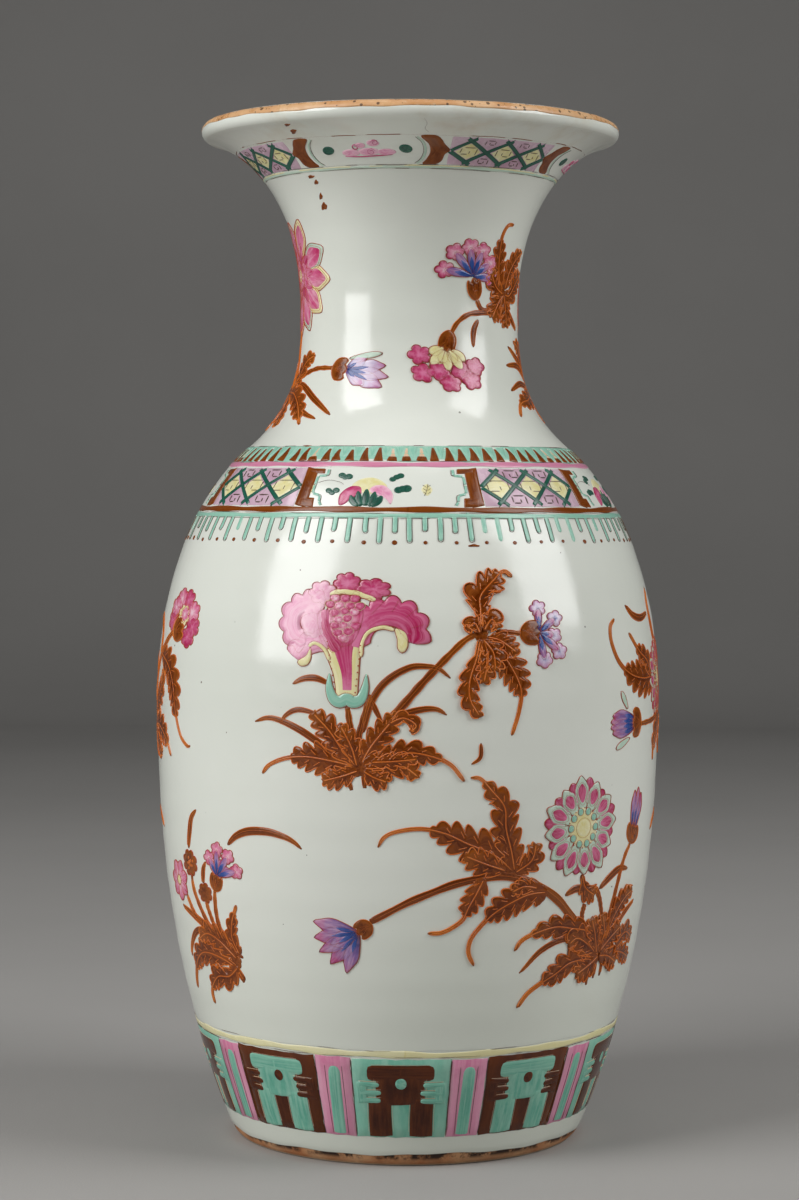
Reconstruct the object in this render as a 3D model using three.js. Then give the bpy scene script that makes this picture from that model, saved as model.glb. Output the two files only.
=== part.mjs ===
// Porcelain baluster vase with a rolled trumpet mouth, as a potter makes one of this size:
// five thrown sections and a base plate, luted together with slip.
// Millimetres, +Z up. The origin is the centre of the foot, on the plane that it stands on.
import * as THREE from "three";

// ---- Driving dimensions ----
const AROUND = 48; // facets round the axis

// Outer outline.
const HEIGHT = 450; // foot to the top of the lip
const FOOT_RADIUS = 76.5; // where the outline would meet the table
const FOOT_FULLNESS = 2.36; // exponent: how quickly the wall swells above the foot
const BELLY_RADIUS = 111.8;
const BELLY_HEIGHT = 198;
const THROAT_RADIUS = 48; // the narrowest place of the neck
const THROAT_BELOW_LIP = 78.5;
const SHOULDER_RISE = 0.697; // of the way from belly to throat: the dome's half axis
const SHOULDER_DROP = 1.137; // of the step from belly radius to throat radius
const SHOULDER_USED = 0.895; // of the dome, before the neck's hollow curve takes over
const MOUTH_RADIUS = 92.5; // outermost edge of the lip
const LIP_ROLL = 3.4; // radius of the rolled lip
const LIP_TILT = THREE.MathUtils.degToRad(30); // slope of the flare where the lip begins
const FLARE_SWEEP = THREE.MathUtils.degToRad(81.3); // of the flare's quarter ellipse

// Wall, measured square to the outer surface.
const FOOT_WALL = 8.5;
const FOOT_SEAM_WALL = 7.5;
const BELLY_WALL = 6.5;
const THROAT_WALL = 5.2;

// Foot ring, recess and base plate.
const FOOT_BEVEL = 2.5; // height of the bevel round the outside of the foot
const RING_OUTER = 75; // flat ring that the vase stands on
const RING_WIDTH = 9;
const RING_INNER_BEVEL = 1.5;
const LEDGE_HEIGHT = 10.5; // ledge that carries the base plate
const LEDGE_WIDTH = 6;
const BASE_THICKNESS = 8;
const FLOOR_FILLET = 5; // cove between the floor and the wall

// Seams between the sections, as heights on the outer surface.
const FOOT_SEAM = 62;
const BELLY_SEAM = 168;
const NECK_SEAM_BELOW_LIP = 148;
const MOUTH_SEAM_BELOW_LIP = 38;
const SLIP_THICKNESS = 0.9; // luting slip between two sections
const BEAD_HALF_WIDTH = 3.5; // slip squeezed out on the inside
const BEAD_CREST = 1.6;

// ---- Outline ----
const throatHeight = HEIGHT - THROAT_BELOW_LIP;
const shoulderRise = SHOULDER_RISE * (throatHeight - BELLY_HEIGHT);
const shoulderDrop = SHOULDER_DROP * (BELLY_RADIUS - THROAT_RADIUS);
const shoulderEnd = BELLY_HEIGHT + SHOULDER_USED * shoulderRise;
const lipCentre = new THREE.Vector2(MOUTH_RADIUS - LIP_ROLL, HEIGHT - LIP_ROLL);
const flareEnd = new THREE.Vector2(
  lipCentre.x + LIP_ROLL * Math.sin(LIP_TILT),
  lipCentre.y - LIP_ROLL * Math.cos(LIP_TILT),
);
const flareWidth = (flareEnd.x - THROAT_RADIUS) / (1 - Math.cos(FLARE_SWEEP));
const flareRise = (flareEnd.y - throatHeight) / Math.sin(FLARE_SWEEP);

// Swell above the foot: a power curve that turns upright at the belly.
const swell = (z) =>
  BELLY_RADIUS - (BELLY_RADIUS - FOOT_RADIUS) * (1 - z / BELLY_HEIGHT) ** FOOT_FULLNESS;

// Shoulder: a quarter ellipse from the belly inwards.
const dome = (z) =>
  BELLY_RADIUS - shoulderDrop * (1 - Math.sqrt(1 - ((z - BELLY_HEIGHT) / shoulderRise) ** 2));

// Hollow of the neck: a power curve that leaves the dome with its radius and slope.
const hollowStep = dome(shoulderEnd) - THROAT_RADIUS;
const domeSlope =
  ((shoulderDrop / shoulderRise) * SHOULDER_USED) / Math.sqrt(1 - SHOULDER_USED ** 2);
const hollowPower = (domeSlope * (throatHeight - shoulderEnd)) / hollowStep;
const hollow = (z) =>
  THROAT_RADIUS +
  hollowStep * ((throatHeight - z) / (throatHeight - shoulderEnd)) ** hollowPower;

// Flare of the mouth: a quarter ellipse from the throat outwards.
const flare = (z) =>
  THROAT_RADIUS +
  flareWidth * (1 - Math.sqrt(Math.max(0, 1 - ((z - throatHeight) / flareRise) ** 2)));

function outerRadius(z) {
  if (z < BELLY_HEIGHT) return swell(z);
  if (z < shoulderEnd) return dome(z);
  if (z < throatHeight) return hollow(z);
  return flare(z);
}

// Wall thickness, straight between the heights that it is given at.
const wallStations = [
  [0, FOOT_WALL],
  [FOOT_SEAM, FOOT_SEAM_WALL],
  [BELLY_HEIGHT, BELLY_WALL],
  [throatHeight, THROAT_WALL],
  [flareEnd.y, 2 * LIP_ROLL],
];

function wallAt(z) {
  const next = Math.max(1, wallStations.findIndex(([height]) => height >= z));
  const [[z0, wall0], [z1, wall1]] = [wallStations[next - 1], wallStations[next]];
  return wall0 + ((wall1 - wall0) * (z - z0)) / (z1 - z0);
}

// The point a depth below the outer surface, square to it, at a height on that surface.
function pointIn(z, depth) {
  const step = 0.01;
  const slope = (outerRadius(z + step / 2) - outerRadius(z - step / 2)) / step;
  const inwards = new THREE.Vector2(-1, slope).normalize();
  return new THREE.Vector2(outerRadius(z), z).addScaledVector(inwards, depth);
}

const outer = (z) => pointIn(z, 0);
const inner = (z) => pointIn(z, wallAt(z));

// ---- Helpers ----
// Heights from one end of a section to the other, with a station at each slip bead's edge.
function stations(low, high, count) {
  const from = low + BEAD_HALF_WIDTH;
  const to = high - BEAD_HALF_WIDTH;
  const middle = Array.from({ length: count + 1 }, (_, i) => from + ((to - from) * i) / count);
  return [low, ...middle, high];
}

function arc(centre, radius, fromAngle, toAngle, count) {
  return Array.from({ length: count + 1 }, (_, i) => {
    const angle = fromAngle + ((toAngle - fromAngle) * i) / count;
    return new THREE.Vector2(
      centre.x + radius * Math.cos(angle),
      centre.y + radius * Math.sin(angle),
    );
  });
}

// A solid of revolution about +Z. The profile runs anticlockwise, with radius across and height up.
function turned(profile, closed = true) {
  const points = closed ? [...profile, profile[0].clone()] : profile;
  return new THREE.LatheGeometry(points, AROUND).rotateX(Math.PI / 2);
}

const material = (name, color, roughness) =>
  new THREE.MeshStandardMaterial({ name, color, roughness, metalness: 0 });
const glazedPorcelain = material("glazed_porcelain", 0xe3e6dc, 0.12);
const biscuit = material("biscuit", 0xc8935f, 0.85);
const lutingSlip = material("luting_slip", 0xe6dfd0, 0.7);

const vase = new THREE.Group();

function add(name, geometry, finish) {
  const mesh = new THREE.Mesh(geometry, finish);
  mesh.name = name;
  vase.add(mesh);
}

// ---- Seams ----
const neckSeam = HEIGHT - NECK_SEAM_BELOW_LIP;
const mouthSeam = HEIGHT - MOUTH_SEAM_BELOW_LIP;
const below = (seam) => seam - SLIP_THICKNESS / 2;
const above = (seam) => seam + SLIP_THICKNESS / 2;

// Slip fills the seam from face to face and stands proud inside as a scraped bead.
function slipRing(seam) {
  return turned([
    outer(below(seam)),
    outer(above(seam)),
    inner(above(seam)),
    inner(above(seam) + BEAD_HALF_WIDTH),
    pointIn(seam, wallAt(seam) + BEAD_CREST),
    inner(below(seam) - BEAD_HALF_WIDTH),
    inner(below(seam)),
  ]);
}

// A plain section of wall between two seams.
function section(low, high, count) {
  const heights = stations(low, high, count);
  return turned([...heights.map(outer), ...heights.reverse().map(inner)]);
}

// ---- Foot: ring, recess, ledge and the start of the wall ----
const ringInner = RING_OUTER - RING_WIDTH;
const ledgeInner = ringInner - RING_INNER_BEVEL;
const rebateRadius = ledgeInner + LEDGE_WIDTH;
const baseUnderside = LEDGE_HEIGHT + SLIP_THICKNESS;
const floorHeight = baseUnderside + BASE_THICKNESS;
const coveTop = inner(floorHeight + FLOOR_FILLET);

const footOuterHeights = stations(FOOT_BEVEL - BEAD_HALF_WIDTH, below(FOOT_SEAM), 5).slice(1);
const footInnerHeights = stations(floorHeight + FLOOR_FILLET, below(FOOT_SEAM), 3);
const footSection = turned([
  new THREE.Vector2(ringInner, 0),
  new THREE.Vector2(RING_OUTER, 0),
  ...footOuterHeights.map(outer),
  ...footInnerHeights.reverse().map(inner),
  new THREE.Vector2(coveTop.x - FLOOR_FILLET * 0.3, floorHeight + FLOOR_FILLET * 0.3),
  new THREE.Vector2(coveTop.x - FLOOR_FILLET, floorHeight),
  new THREE.Vector2(rebateRadius, floorHeight),
  new THREE.Vector2(rebateRadius, LEDGE_HEIGHT),
  new THREE.Vector2(ledgeInner, LEDGE_HEIGHT),
  new THREE.Vector2(ledgeInner, RING_INNER_BEVEL),
]);

const plateRadius = rebateRadius - SLIP_THICKNESS;
const basePlate = turned(
  [
    new THREE.Vector2(0, baseUnderside),
    new THREE.Vector2(plateRadius, baseUnderside),
    new THREE.Vector2(plateRadius, floorHeight),
    new THREE.Vector2(0, floorHeight),
  ],
  false,
);

// Slip round the plate's edge and under it, on the ledge.
const baseSlip = turned([
  new THREE.Vector2(ledgeInner, LEDGE_HEIGHT),
  new THREE.Vector2(rebateRadius, LEDGE_HEIGHT),
  new THREE.Vector2(rebateRadius, floorHeight),
  new THREE.Vector2(plateRadius, floorHeight),
  new THREE.Vector2(plateRadius, baseUnderside),
  new THREE.Vector2(ledgeInner, baseUnderside),
]);

// ---- Mouth: the flare and its rolled lip ----
const FLARE_STEPS = 7;
const LIP_STEPS = 6;
const beadTop = above(mouthSeam) + BEAD_HALF_WIDTH;
const beadAngle = Math.asin((beadTop - throatHeight) / flareRise);
const flareHeights = Array.from({ length: FLARE_STEPS }, (_, i) => {
  const angle = beadAngle + ((FLARE_SWEEP - beadAngle) * i) / FLARE_STEPS;
  return throatHeight + flareRise * Math.sin(angle);
});
flareHeights.unshift(above(mouthSeam));
const mouth = turned([
  ...flareHeights.map(outer),
  ...arc(lipCentre, LIP_ROLL, LIP_TILT - Math.PI / 2, LIP_TILT + Math.PI / 2, LIP_STEPS),
  ...flareHeights.slice().reverse().map(inner),
]);

// ---- Assembly, from the foot up ----
add("foot_section", footSection, biscuit);
add("base_plate", basePlate, glazedPorcelain);
add("base_slip", baseSlip, lutingSlip);
add("foot_seam_slip", slipRing(FOOT_SEAM), lutingSlip);
add("lower_body", section(above(FOOT_SEAM), below(BELLY_SEAM), 6), glazedPorcelain);
add("belly_seam_slip", slipRing(BELLY_SEAM), lutingSlip);
add("upper_body", section(above(BELLY_SEAM), below(neckSeam), 9), glazedPorcelain);
add("neck_seam_slip", slipRing(neckSeam), lutingSlip);
add("neck", section(above(neckSeam), below(mouthSeam), 9), glazedPorcelain);
add("mouth_seam_slip", slipRing(mouthSeam), lutingSlip);
add("mouth", mouth, glazedPorcelain);

export default vase;
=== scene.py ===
import bpy
import numpy as np
from mathutils import Matrix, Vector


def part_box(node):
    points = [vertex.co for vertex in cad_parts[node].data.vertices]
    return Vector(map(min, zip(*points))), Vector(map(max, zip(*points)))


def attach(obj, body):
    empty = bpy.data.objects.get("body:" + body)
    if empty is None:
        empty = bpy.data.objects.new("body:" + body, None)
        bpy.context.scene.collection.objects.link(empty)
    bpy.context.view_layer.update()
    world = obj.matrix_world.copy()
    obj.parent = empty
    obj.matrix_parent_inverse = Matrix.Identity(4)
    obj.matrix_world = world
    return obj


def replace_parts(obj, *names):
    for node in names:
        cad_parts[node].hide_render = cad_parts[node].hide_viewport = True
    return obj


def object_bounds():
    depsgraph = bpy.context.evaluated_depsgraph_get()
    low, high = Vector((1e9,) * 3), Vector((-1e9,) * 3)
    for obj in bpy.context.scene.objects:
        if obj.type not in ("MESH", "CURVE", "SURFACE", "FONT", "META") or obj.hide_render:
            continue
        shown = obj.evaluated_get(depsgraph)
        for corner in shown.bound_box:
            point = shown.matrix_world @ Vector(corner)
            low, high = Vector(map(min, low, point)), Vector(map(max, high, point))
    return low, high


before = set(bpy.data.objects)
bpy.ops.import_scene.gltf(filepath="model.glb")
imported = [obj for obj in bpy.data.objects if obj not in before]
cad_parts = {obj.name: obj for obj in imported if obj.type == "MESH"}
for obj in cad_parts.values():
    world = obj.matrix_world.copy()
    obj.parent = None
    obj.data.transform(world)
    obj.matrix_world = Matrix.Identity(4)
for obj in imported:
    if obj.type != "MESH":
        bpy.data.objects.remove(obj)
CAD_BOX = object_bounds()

rng = np.random.default_rng(1880)
MM = 1000.0


def all_round(count):
    """Angles in even steps right round."""
    return np.linspace(0, 2 * np.pi, count, endpoint=False)


def heading(angle):
    """Unit step, or steps, in the direction of an angle: (cosine, sine)."""
    return np.stack([np.cos(angle), np.sin(angle)], -1)


def wobble(by):
    """A random slip of the hand, of about a given size."""
    return rng.normal(0, by)


def uneven(crown):
    """A crown raised by a hair, so that patches that overlap never lie at one height."""
    return crown + 0.012 * rng.random()


# ---- Outline of the thrown body, in millimetres ----
HEIGHT = MM * CAD_BOX[1].z
MOUTH_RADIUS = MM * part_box("mouth")[1].x
FOOT_RADIUS, FOOT_FULLNESS = 76.5, 2.36
BELLY_RADIUS, BELLY_HEIGHT = 111.8, 198.0
THROAT_RADIUS, THROAT_HEIGHT = 48.0, HEIGHT - 78.5
SHOULDER_RISE = 0.697 * (THROAT_HEIGHT - BELLY_HEIGHT)
SHOULDER_DROP = 1.137 * (BELLY_RADIUS - THROAT_RADIUS)
SHOULDER_USED = 0.895
SHOULDER_END = BELLY_HEIGHT + SHOULDER_USED * SHOULDER_RISE
LIP_ROLL, LIP_TILT = 3.4, np.radians(30)
FLARE_SWEEP = np.radians(81.3)
LIP_CENTRE = np.array([MOUTH_RADIUS - LIP_ROLL, HEIGHT - LIP_ROLL])
FLARE_END = LIP_CENTRE + LIP_ROLL * np.array([np.sin(LIP_TILT), -np.cos(LIP_TILT)])
FLARE_WIDTH = (FLARE_END[0] - THROAT_RADIUS) / (1 - np.cos(FLARE_SWEEP))
FLARE_RISE = (FLARE_END[1] - THROAT_HEIGHT) / np.sin(FLARE_SWEEP)
FOOT_WALL, FOOT_SEAM_WALL, BELLY_WALL, THROAT_WALL = 8.5, 7.5, 6.5, 5.2
FOOT_SEAM = 62.0
GLAZE = 0.42  # thickness of the glaze over the body
SUNK = -0.08  # how far an enamel's edge is let into the glaze


def dome(z):
    """Shoulder: a quarter ellipse from the belly inwards."""
    share = np.clip((z - BELLY_HEIGHT) / SHOULDER_RISE, 0, 1)
    return BELLY_RADIUS - SHOULDER_DROP * (1 - np.sqrt(1 - share**2))


HOLLOW_STEP = dome(SHOULDER_END) - THROAT_RADIUS
DOME_SLOPE = SHOULDER_DROP / SHOULDER_RISE * SHOULDER_USED / np.sqrt(1 - SHOULDER_USED**2)
HOLLOW_POWER = DOME_SLOPE * (THROAT_HEIGHT - SHOULDER_END) / HOLLOW_STEP


def outline(z):
    """Outer radius at a height: a power swell, a quarter ellipse, a power hollow, a quarter ellipse."""
    z = np.asarray(z, float)
    swell = BELLY_RADIUS - (BELLY_RADIUS - FOOT_RADIUS) * (
        np.clip(1 - z / BELLY_HEIGHT, 0, 1) ** FOOT_FULLNESS
    )
    down = np.clip((THROAT_HEIGHT - z) / (THROAT_HEIGHT - SHOULDER_END), 0, 1)
    hollow = THROAT_RADIUS + HOLLOW_STEP * down**HOLLOW_POWER
    up = np.clip((z - THROAT_HEIGHT) / FLARE_RISE, 0, 1)
    flare = THROAT_RADIUS + FLARE_WIDTH * (1 - np.sqrt(1 - up**2))
    lower = np.where(z < BELLY_HEIGHT, swell, dome(z))
    return np.where(z < SHOULDER_END, lower, np.where(z < THROAT_HEIGHT, hollow, flare))


def slope(z):
    """Radius gained for each millimetre of height."""
    return (outline(z + 0.05) - outline(z - 0.05)) / 0.1


def wall(z):
    """Thickness of the wall, straight between the heights that it is given at."""
    heights = [0, FOOT_SEAM, BELLY_HEIGHT, THROAT_HEIGHT, FLARE_END[1]]
    return np.interp(z, heights, [FOOT_WALL, FOOT_SEAM_WALL, BELLY_WALL, THROAT_WALL, 2 * LIP_ROLL])


def throwing(angle, z):
    """Unevenness of the wall: a slow sway, shallow throwing rings and a pool of glaze above the shoulder."""
    pool = 0.26 * np.exp(-(((z - 322) / 17) ** 2))
    sway = 0.16 * np.sin(2 * angle + 0.9 + z / 170) * np.sin(np.pi * np.clip(z / 440, 0, 1))
    rings = 0.055 * np.sin(z / 2.6 + 0.7 * np.sin(angle + z / 50)) + 0.05 * np.sin(z / 6.1 + 1.3)
    fade = np.clip((z - 8) / 30, 0, 1) * np.clip((432 - z) / 30, 0, 1)
    return (sway + rings) * fade + pool


LENGTH_STEPS = np.linspace(0, FLARE_END[1], 6001)
LENGTHS = np.concatenate(
    [[0], np.cumsum(np.hypot(np.diff(LENGTH_STEPS), np.diff(outline(LENGTH_STEPS))))]
)


def length_at(z):
    """Distance walked up the outside of the wall from the table to a height."""
    return np.interp(z, LENGTH_STEPS, LENGTHS)


def height_at(length):
    """Height at a distance up the wall, the other way round from length_at."""
    return np.interp(length, LENGTHS, LENGTH_STEPS)


def on_vase(angle, z, lift):
    """Point on the glaze at an angle and height, raised square to it. Angle 0 faces -Y, + turns to +X."""
    lean = slope(z)
    across = 1 / np.sqrt(1 + lean**2)
    out = outline(z) + throwing(angle, z) + (GLAZE + lift) * across
    up = z - (GLAZE + lift) * across * lean
    return np.stack([out * np.sin(angle), -out * np.cos(angle), up], -1)


# ---- Meshes ----
NO_TRIS = np.zeros((0, 3), int)


def make_piece(name, points, quads, tris, finish, wash=None, tone=None):
    """A mesh object from arrays of points in millimetres, four-sided faces and three-sided faces."""
    mesh = bpy.data.meshes.new(name)
    quads = np.asarray(quads, np.int32).reshape(-1, 4)
    tris = np.asarray(tris, np.int32).reshape(-1, 3)
    corners = np.concatenate([quads.ravel(), tris.ravel()])
    sizes = np.concatenate([np.full(len(quads), 4), np.full(len(tris), 3)]).astype(np.int32)
    mesh.vertices.add(len(points))
    mesh.vertices.foreach_set("co", (np.asarray(points) / MM).astype(np.float32).ravel())
    mesh.loops.add(len(corners))
    mesh.loops.foreach_set("vertex_index", corners)
    mesh.polygons.add(len(sizes))
    starts = np.concatenate([[0], np.cumsum(sizes)[:-1]]).astype(np.int32)
    mesh.polygons.foreach_set("loop_start", starts)
    mesh.polygons.foreach_set("use_smooth", np.full(len(sizes), True))
    mesh.update(calc_edges=True)
    if wash is not None:
        layer = mesh.uv_layers.new(name="wash")
        layer.uv.foreach_set("vector", np.asarray(wash)[corners].astype(np.float32).ravel())
    if tone is not None:
        attribute = mesh.attributes.new("tone", "FLOAT", "POINT")
        attribute.data.foreach_set("value", np.asarray(tone).astype(np.float32))
    mesh.validate()
    mesh.materials.append(finish)
    piece = bpy.data.objects.new(name, mesh)
    bpy.context.collection.objects.link(piece)
    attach(piece, "root")
    return piece


def shell(name, rings, finish, poles=None):
    """Closed surface through rings of points. The last ring joins the first, or with poles,
    two heights on the axis, the first and last rings are closed to the axis there."""
    rings = np.asarray(rings, float)
    rows, around = rings.shape[:2]
    index = np.arange(rows * around).reshape(rows, around)
    here = index if poles is None else index[:-1]
    above = np.roll(index, -1, 0) if poles is None else index[1:]
    quads = np.stack([here, np.roll(here, -1, 1), np.roll(above, -1, 1), above], -1)
    points, tris = rings.reshape(-1, 3), NO_TRIS
    if poles is not None:
        low, high = index[0], index[-1]
        first, last = np.full(around, rows * around), np.full(around, rows * around + 1)
        points = np.vstack([points, [0, 0, poles[0]], [0, 0, poles[1]]])
        tris = np.concatenate(
            [
                np.stack([first, np.roll(low, -1), low], -1),
                np.stack([last, high, np.roll(high, -1)], -1),
            ]
        )
    return make_piece(name, points, quads, tris, finish)


def grid_faces(i):
    """Four-sided faces of a grid of point numbers."""
    return np.stack([i[:-1, :-1], i[:-1, 1:], i[1:, 1:], i[1:, :-1]], -1).reshape(-1, 4)


AROUND = 256
ANGLES = all_round(AROUND)


def spun(profile):
    """Rings of points from a profile of (radius, height), one ring for each point."""
    profile = np.asarray(profile, float)
    radius = profile[:, :1] * np.ones(AROUND)
    height = profile[:, 1:] * np.ones(AROUND)
    return np.stack([radius * np.sin(ANGLES), -radius * np.cos(ANGLES), height], -1)


# ---- Enamel strokes ----
FILL = (np.array([-1, -0.92, -0.55, 0, 0.55, 0.92, 1]), np.array([0, 0.7, 0.97, 1, 0.97, 0.7, 0]))
LINE = (np.array([-1.0, 0, 1]), np.array([0.0, 1, 0]))
ROUND_LINE = (np.array([-1, -0.6, 0, 0.6, 1.0]), np.array([0, 0.75, 1, 0.75, 0.0]))
BOLD_LINE = (np.array([-1, -0.8, 0, 0.8, 1.0]), np.array([0, 0.96, 1, 0.96, 0.0]))


class Enamel:
    """Strokes of one enamel in one part of the decoration, gathered into a single piece."""

    made = []

    def __init__(self, name, finish):
        self.name, (self.finish, self.slot_name) = name, finish
        self.points, self.quads, self.tris, self.wash, self.tone = [], [], [], [], []
        self.count = 0
        Enamel.made.append(self)

    def take(self, points, quads, tris, wash, tone=None):
        """Adds a stroke's mesh, with one tone between 0 and 1 for the whole stroke."""
        self.points.append(points)
        self.quads.append(quads + self.count)
        self.tris.append(tris + self.count)
        self.wash.append(wash)
        self.tone.append(np.full(len(points), rng.random() if tone is None else tone))
        self.count += len(points)

    def fire(self):
        """Makes the piece, if anything was painted with this enamel."""
        if self.count:
            points, quads, tris, wash, tone = map(
                np.concatenate, (self.points, self.quads, self.tris, self.wash, self.tone)
            )
            make_piece(self.name, points, quads, tris, self.finish, wash, tone)


def palette(part, finishes):
    """The enamels of one part of the decoration, from the endings of their names and finishes."""
    return [Enamel(part + "_" + ending, finish) for ending, finish in finishes.items()]


class Place:
    """A patch of the wall rolled flat. Points are drawn as (degrees, height) about a middle angle.
    at is the angle that the middle comes to on the vase, and mirror flips the drawing."""

    def __init__(self, middle=0.0, at=None, mirror=False):
        self.middle = middle
        self.at = middle if at is None else at
        self.turn = -1.0 if mirror else 1.0

    def lay(self, points):
        """(degrees, height) to flat millimetres: arc length round the wall and length up it."""
        points = np.atleast_2d(np.asarray(points, float))
        z = points[:, 1]
        arc = np.radians(self.turn * (points[:, 0] - self.middle)) * outline(z)
        return np.stack([arc, length_at(z)], 1)

    def spot(self, point):
        """One point, laid flat."""
        return self.lay([point])[0]

    def curve(self, points, count, closed=False):
        """Smooth flat curve through points, in count steps."""
        return flowing(self.lay(points), count, closed)

    def straight(self, ends, count):
        """Straight flat line between two points, in count steps."""
        return np.linspace(*self.lay(ends), count)

    def onto(self, flat, lift):
        """Flat millimetres back to the wall: height from the length, angle from the arc."""
        z = height_at(flat[..., 1])
        angle = np.radians(self.at) + flat[..., 0] / outline(z)
        return on_vase(angle, z, lift)


def flowing(points, count, closed=False):
    """Smooth curve through the points (Catmull-Rom), as count points evenly spaced along it."""
    points = np.asarray(points, float)
    if closed:
        ends = np.vstack([points[-1:], points, points[:2]])
        spans = len(points)
    else:
        ends = np.vstack([2 * points[0] - points[1], points, 2 * points[-1] - points[-2]])
        spans = len(points) - 1
    t = np.linspace(0, spans, 16 * spans + 1)
    i = np.minimum(t.astype(int), spans - 1)
    f = (t - i)[:, None]
    a, b, c, d = ends[i], ends[i + 1], ends[i + 2], ends[i + 3]
    cubic = 2 * b + (c - a) * f + (2 * a - 5 * b + 4 * c - d) * f**2
    curve = 0.5 * (cubic + (3 * b - a - 3 * c + d) * f**3)
    walked = np.concatenate([[0], np.cumsum(np.linalg.norm(np.diff(curve, axis=0), axis=1))])
    goal = np.linspace(0, walked[-1], count + 1)[:-1] if closed else np.linspace(0, walked[-1], count)
    return np.stack([np.interp(goal, walked, curve[:, k]) for k in (0, 1)], 1)


def ribbon(here, ahead):
    """Faces of a band between rows of points and the rows ahead of them, and of its flat base."""
    top = np.stack([here[:, :-1], ahead[:, :-1], ahead[:, 1:], here[:, 1:]], -1).reshape(-1, 4)
    base = np.stack([here[:, 0], here[:, -1], ahead[:, -1], ahead[:, 0]], -1)
    return np.concatenate([top, base])


def wash_over(across, along, shape):
    """How far each point is across a stroke, and along it, from 0 to 1."""
    pair = [np.broadcast_to((across + 1) / 2, shape), np.broadcast_to(along, shape)]
    return np.stack(pair, -1).reshape(-1, 2)


def stroke(enamel, place, line, half, crown=0.26, profile=FILL, sweep=0.0, closed=False, tone=None):
    """Raised stroke: the profile is carried along the line, as wide as half says at each share t.

    Point = line + sideways * across * half + forwards * across^2 * half * sweep,
    lifted by crown * profile. The edges and ends are let into the glaze, and a base closes it.
    Returns the two edges, in flat millimetres.
    """
    across, rise = profile
    rows, cols = len(line), len(across)
    t = np.linspace(0, 1, rows)
    if closed:
        along = np.roll(line, -1, 0) - np.roll(line, 1, 0)
    else:
        along = np.gradient(line, axis=0)
    along /= np.maximum(np.linalg.norm(along, axis=1, keepdims=True), 1e-9)
    sideways = np.stack([-along[:, 1], along[:, 0]], 1)
    width = half(t) if callable(half) else np.full(rows, float(half))
    if width.ndim == 1:
        width = np.stack([width, width], 1)
    width = np.maximum(width, 0.06)
    reach = np.where(across[None, :] < 0, width[:, :1], width[:, 1:])
    flat = (
        line[:, None]
        + sideways[:, None] * (across * reach)[..., None]
        + along[:, None] * (across**2 * reach * sweep)[..., None]
    )
    lift = SUNK + (crown - SUNK) * rise[None, :] * np.ones((rows, 1))
    if not closed:
        lift[[0, -1]] = SUNK
    points = place.onto(flat, lift).reshape(-1, 3)
    index = np.arange(rows * cols).reshape(rows, cols)
    here, ahead = (index, np.roll(index, -1, 0)) if closed else (index[:-1], index[1:])
    tris = NO_TRIS
    if not closed:
        j = np.arange(1, cols - 1)
        zero = np.zeros_like(j)
        tris = np.concatenate(
            [
                np.stack([index[0, zero], index[0, j], index[0, j + 1]], -1),
                np.stack([index[-1, zero], index[-1, j + 1], index[-1, j]], -1),
            ]
        )
    enamel.take(points, ribbon(here, ahead), tris, wash_over(across, t[:, None], (rows, cols)), tone)
    return flat[:, 0], flat[:, -1]


def pad(enamel, place, edge, centre=None, crown=0.3, grain=None, tone=None):
    """Raised patch inside a closed edge that the centre can see: the edge is shrunk to the centre
    in rings, the rings rise to the crown, and a shallow cone closes it below.

    grain is the base and tip that a colour wash runs between; without it the wash runs outwards.
    """
    centre = edge.mean(0) if centre is None else np.asarray(centre, float)
    turn = np.sum(edge[:, 0] * np.roll(edge[:, 1], -1) - np.roll(edge[:, 0], -1) * edge[:, 1])
    if turn < 0:
        edge = edge[::-1]
    count = len(edge)
    shares = np.array([0.22, 0.5, 0.78, 0.94, 1.0])
    rise = np.array([1, 1, 0.96, 0.72, 0])
    rings = centre + (edge[None] - centre) * shares[:, None, None]
    lift = SUNK + (crown - SUNK) * np.broadcast_to(rise[:, None], (5, count))
    flat = np.concatenate([rings.reshape(-1, 2), centre[None], centre[None]])
    deep = -0.25 - np.max(np.abs(edge[:, 0] - centre[0])) ** 2 / (2 * THROAT_RADIUS)
    lifts = np.concatenate([lift.ravel(), [crown], [max(deep, -3.0)]])
    points = place.onto(flat, lifts)
    index = np.arange(5 * count).reshape(5, count)
    inner, outer = index[:-1], index[1:]
    quads = np.stack([inner, outer, np.roll(outer, -1, 1), np.roll(inner, -1, 1)], -1).reshape(-1, 4)
    top, low = 5 * count, 5 * count + 1
    first, rim = index[0], index[-1]
    tris = np.concatenate(
        [
            np.stack([np.full(count, top), first, np.roll(first, -1)], -1),
            np.stack([np.full(count, low), np.roll(rim, -1), rim], -1),
        ]
    )
    if grain is None:
        run = np.concatenate([np.repeat(shares, count), [0, 0]])
        side = np.concatenate([np.tile(np.linspace(0, 1, count), 5), [0.5, 0.5]])
    else:
        start, end = np.asarray(grain[0], float), np.asarray(grain[1], float)
        axis = end - start
        reach = np.dot(axis, axis)
        run = np.clip((flat - start) @ axis / reach, 0, 1)
        side = np.clip(0.5 + (flat - start) @ np.array([-axis[1], axis[0]]) / reach, 0, 1)
    enamel.take(points, quads, tris, np.stack([side, run], -1), tone)
    return edge


def line(enamel, place, path, half=0.28, crown=0.42, closed=False, profile=LINE, tone=None):
    """A fine raised brush line along a path in flat millimetres, thinned at its ends."""

    def width(t):
        return half * (1 if closed else np.clip(np.minimum(t, 1 - t) * 9 + 0.45, 0, 1)) * np.ones_like(t)

    stroke(enamel, place, path, width, crown, profile, closed=closed, tone=tone)


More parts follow.
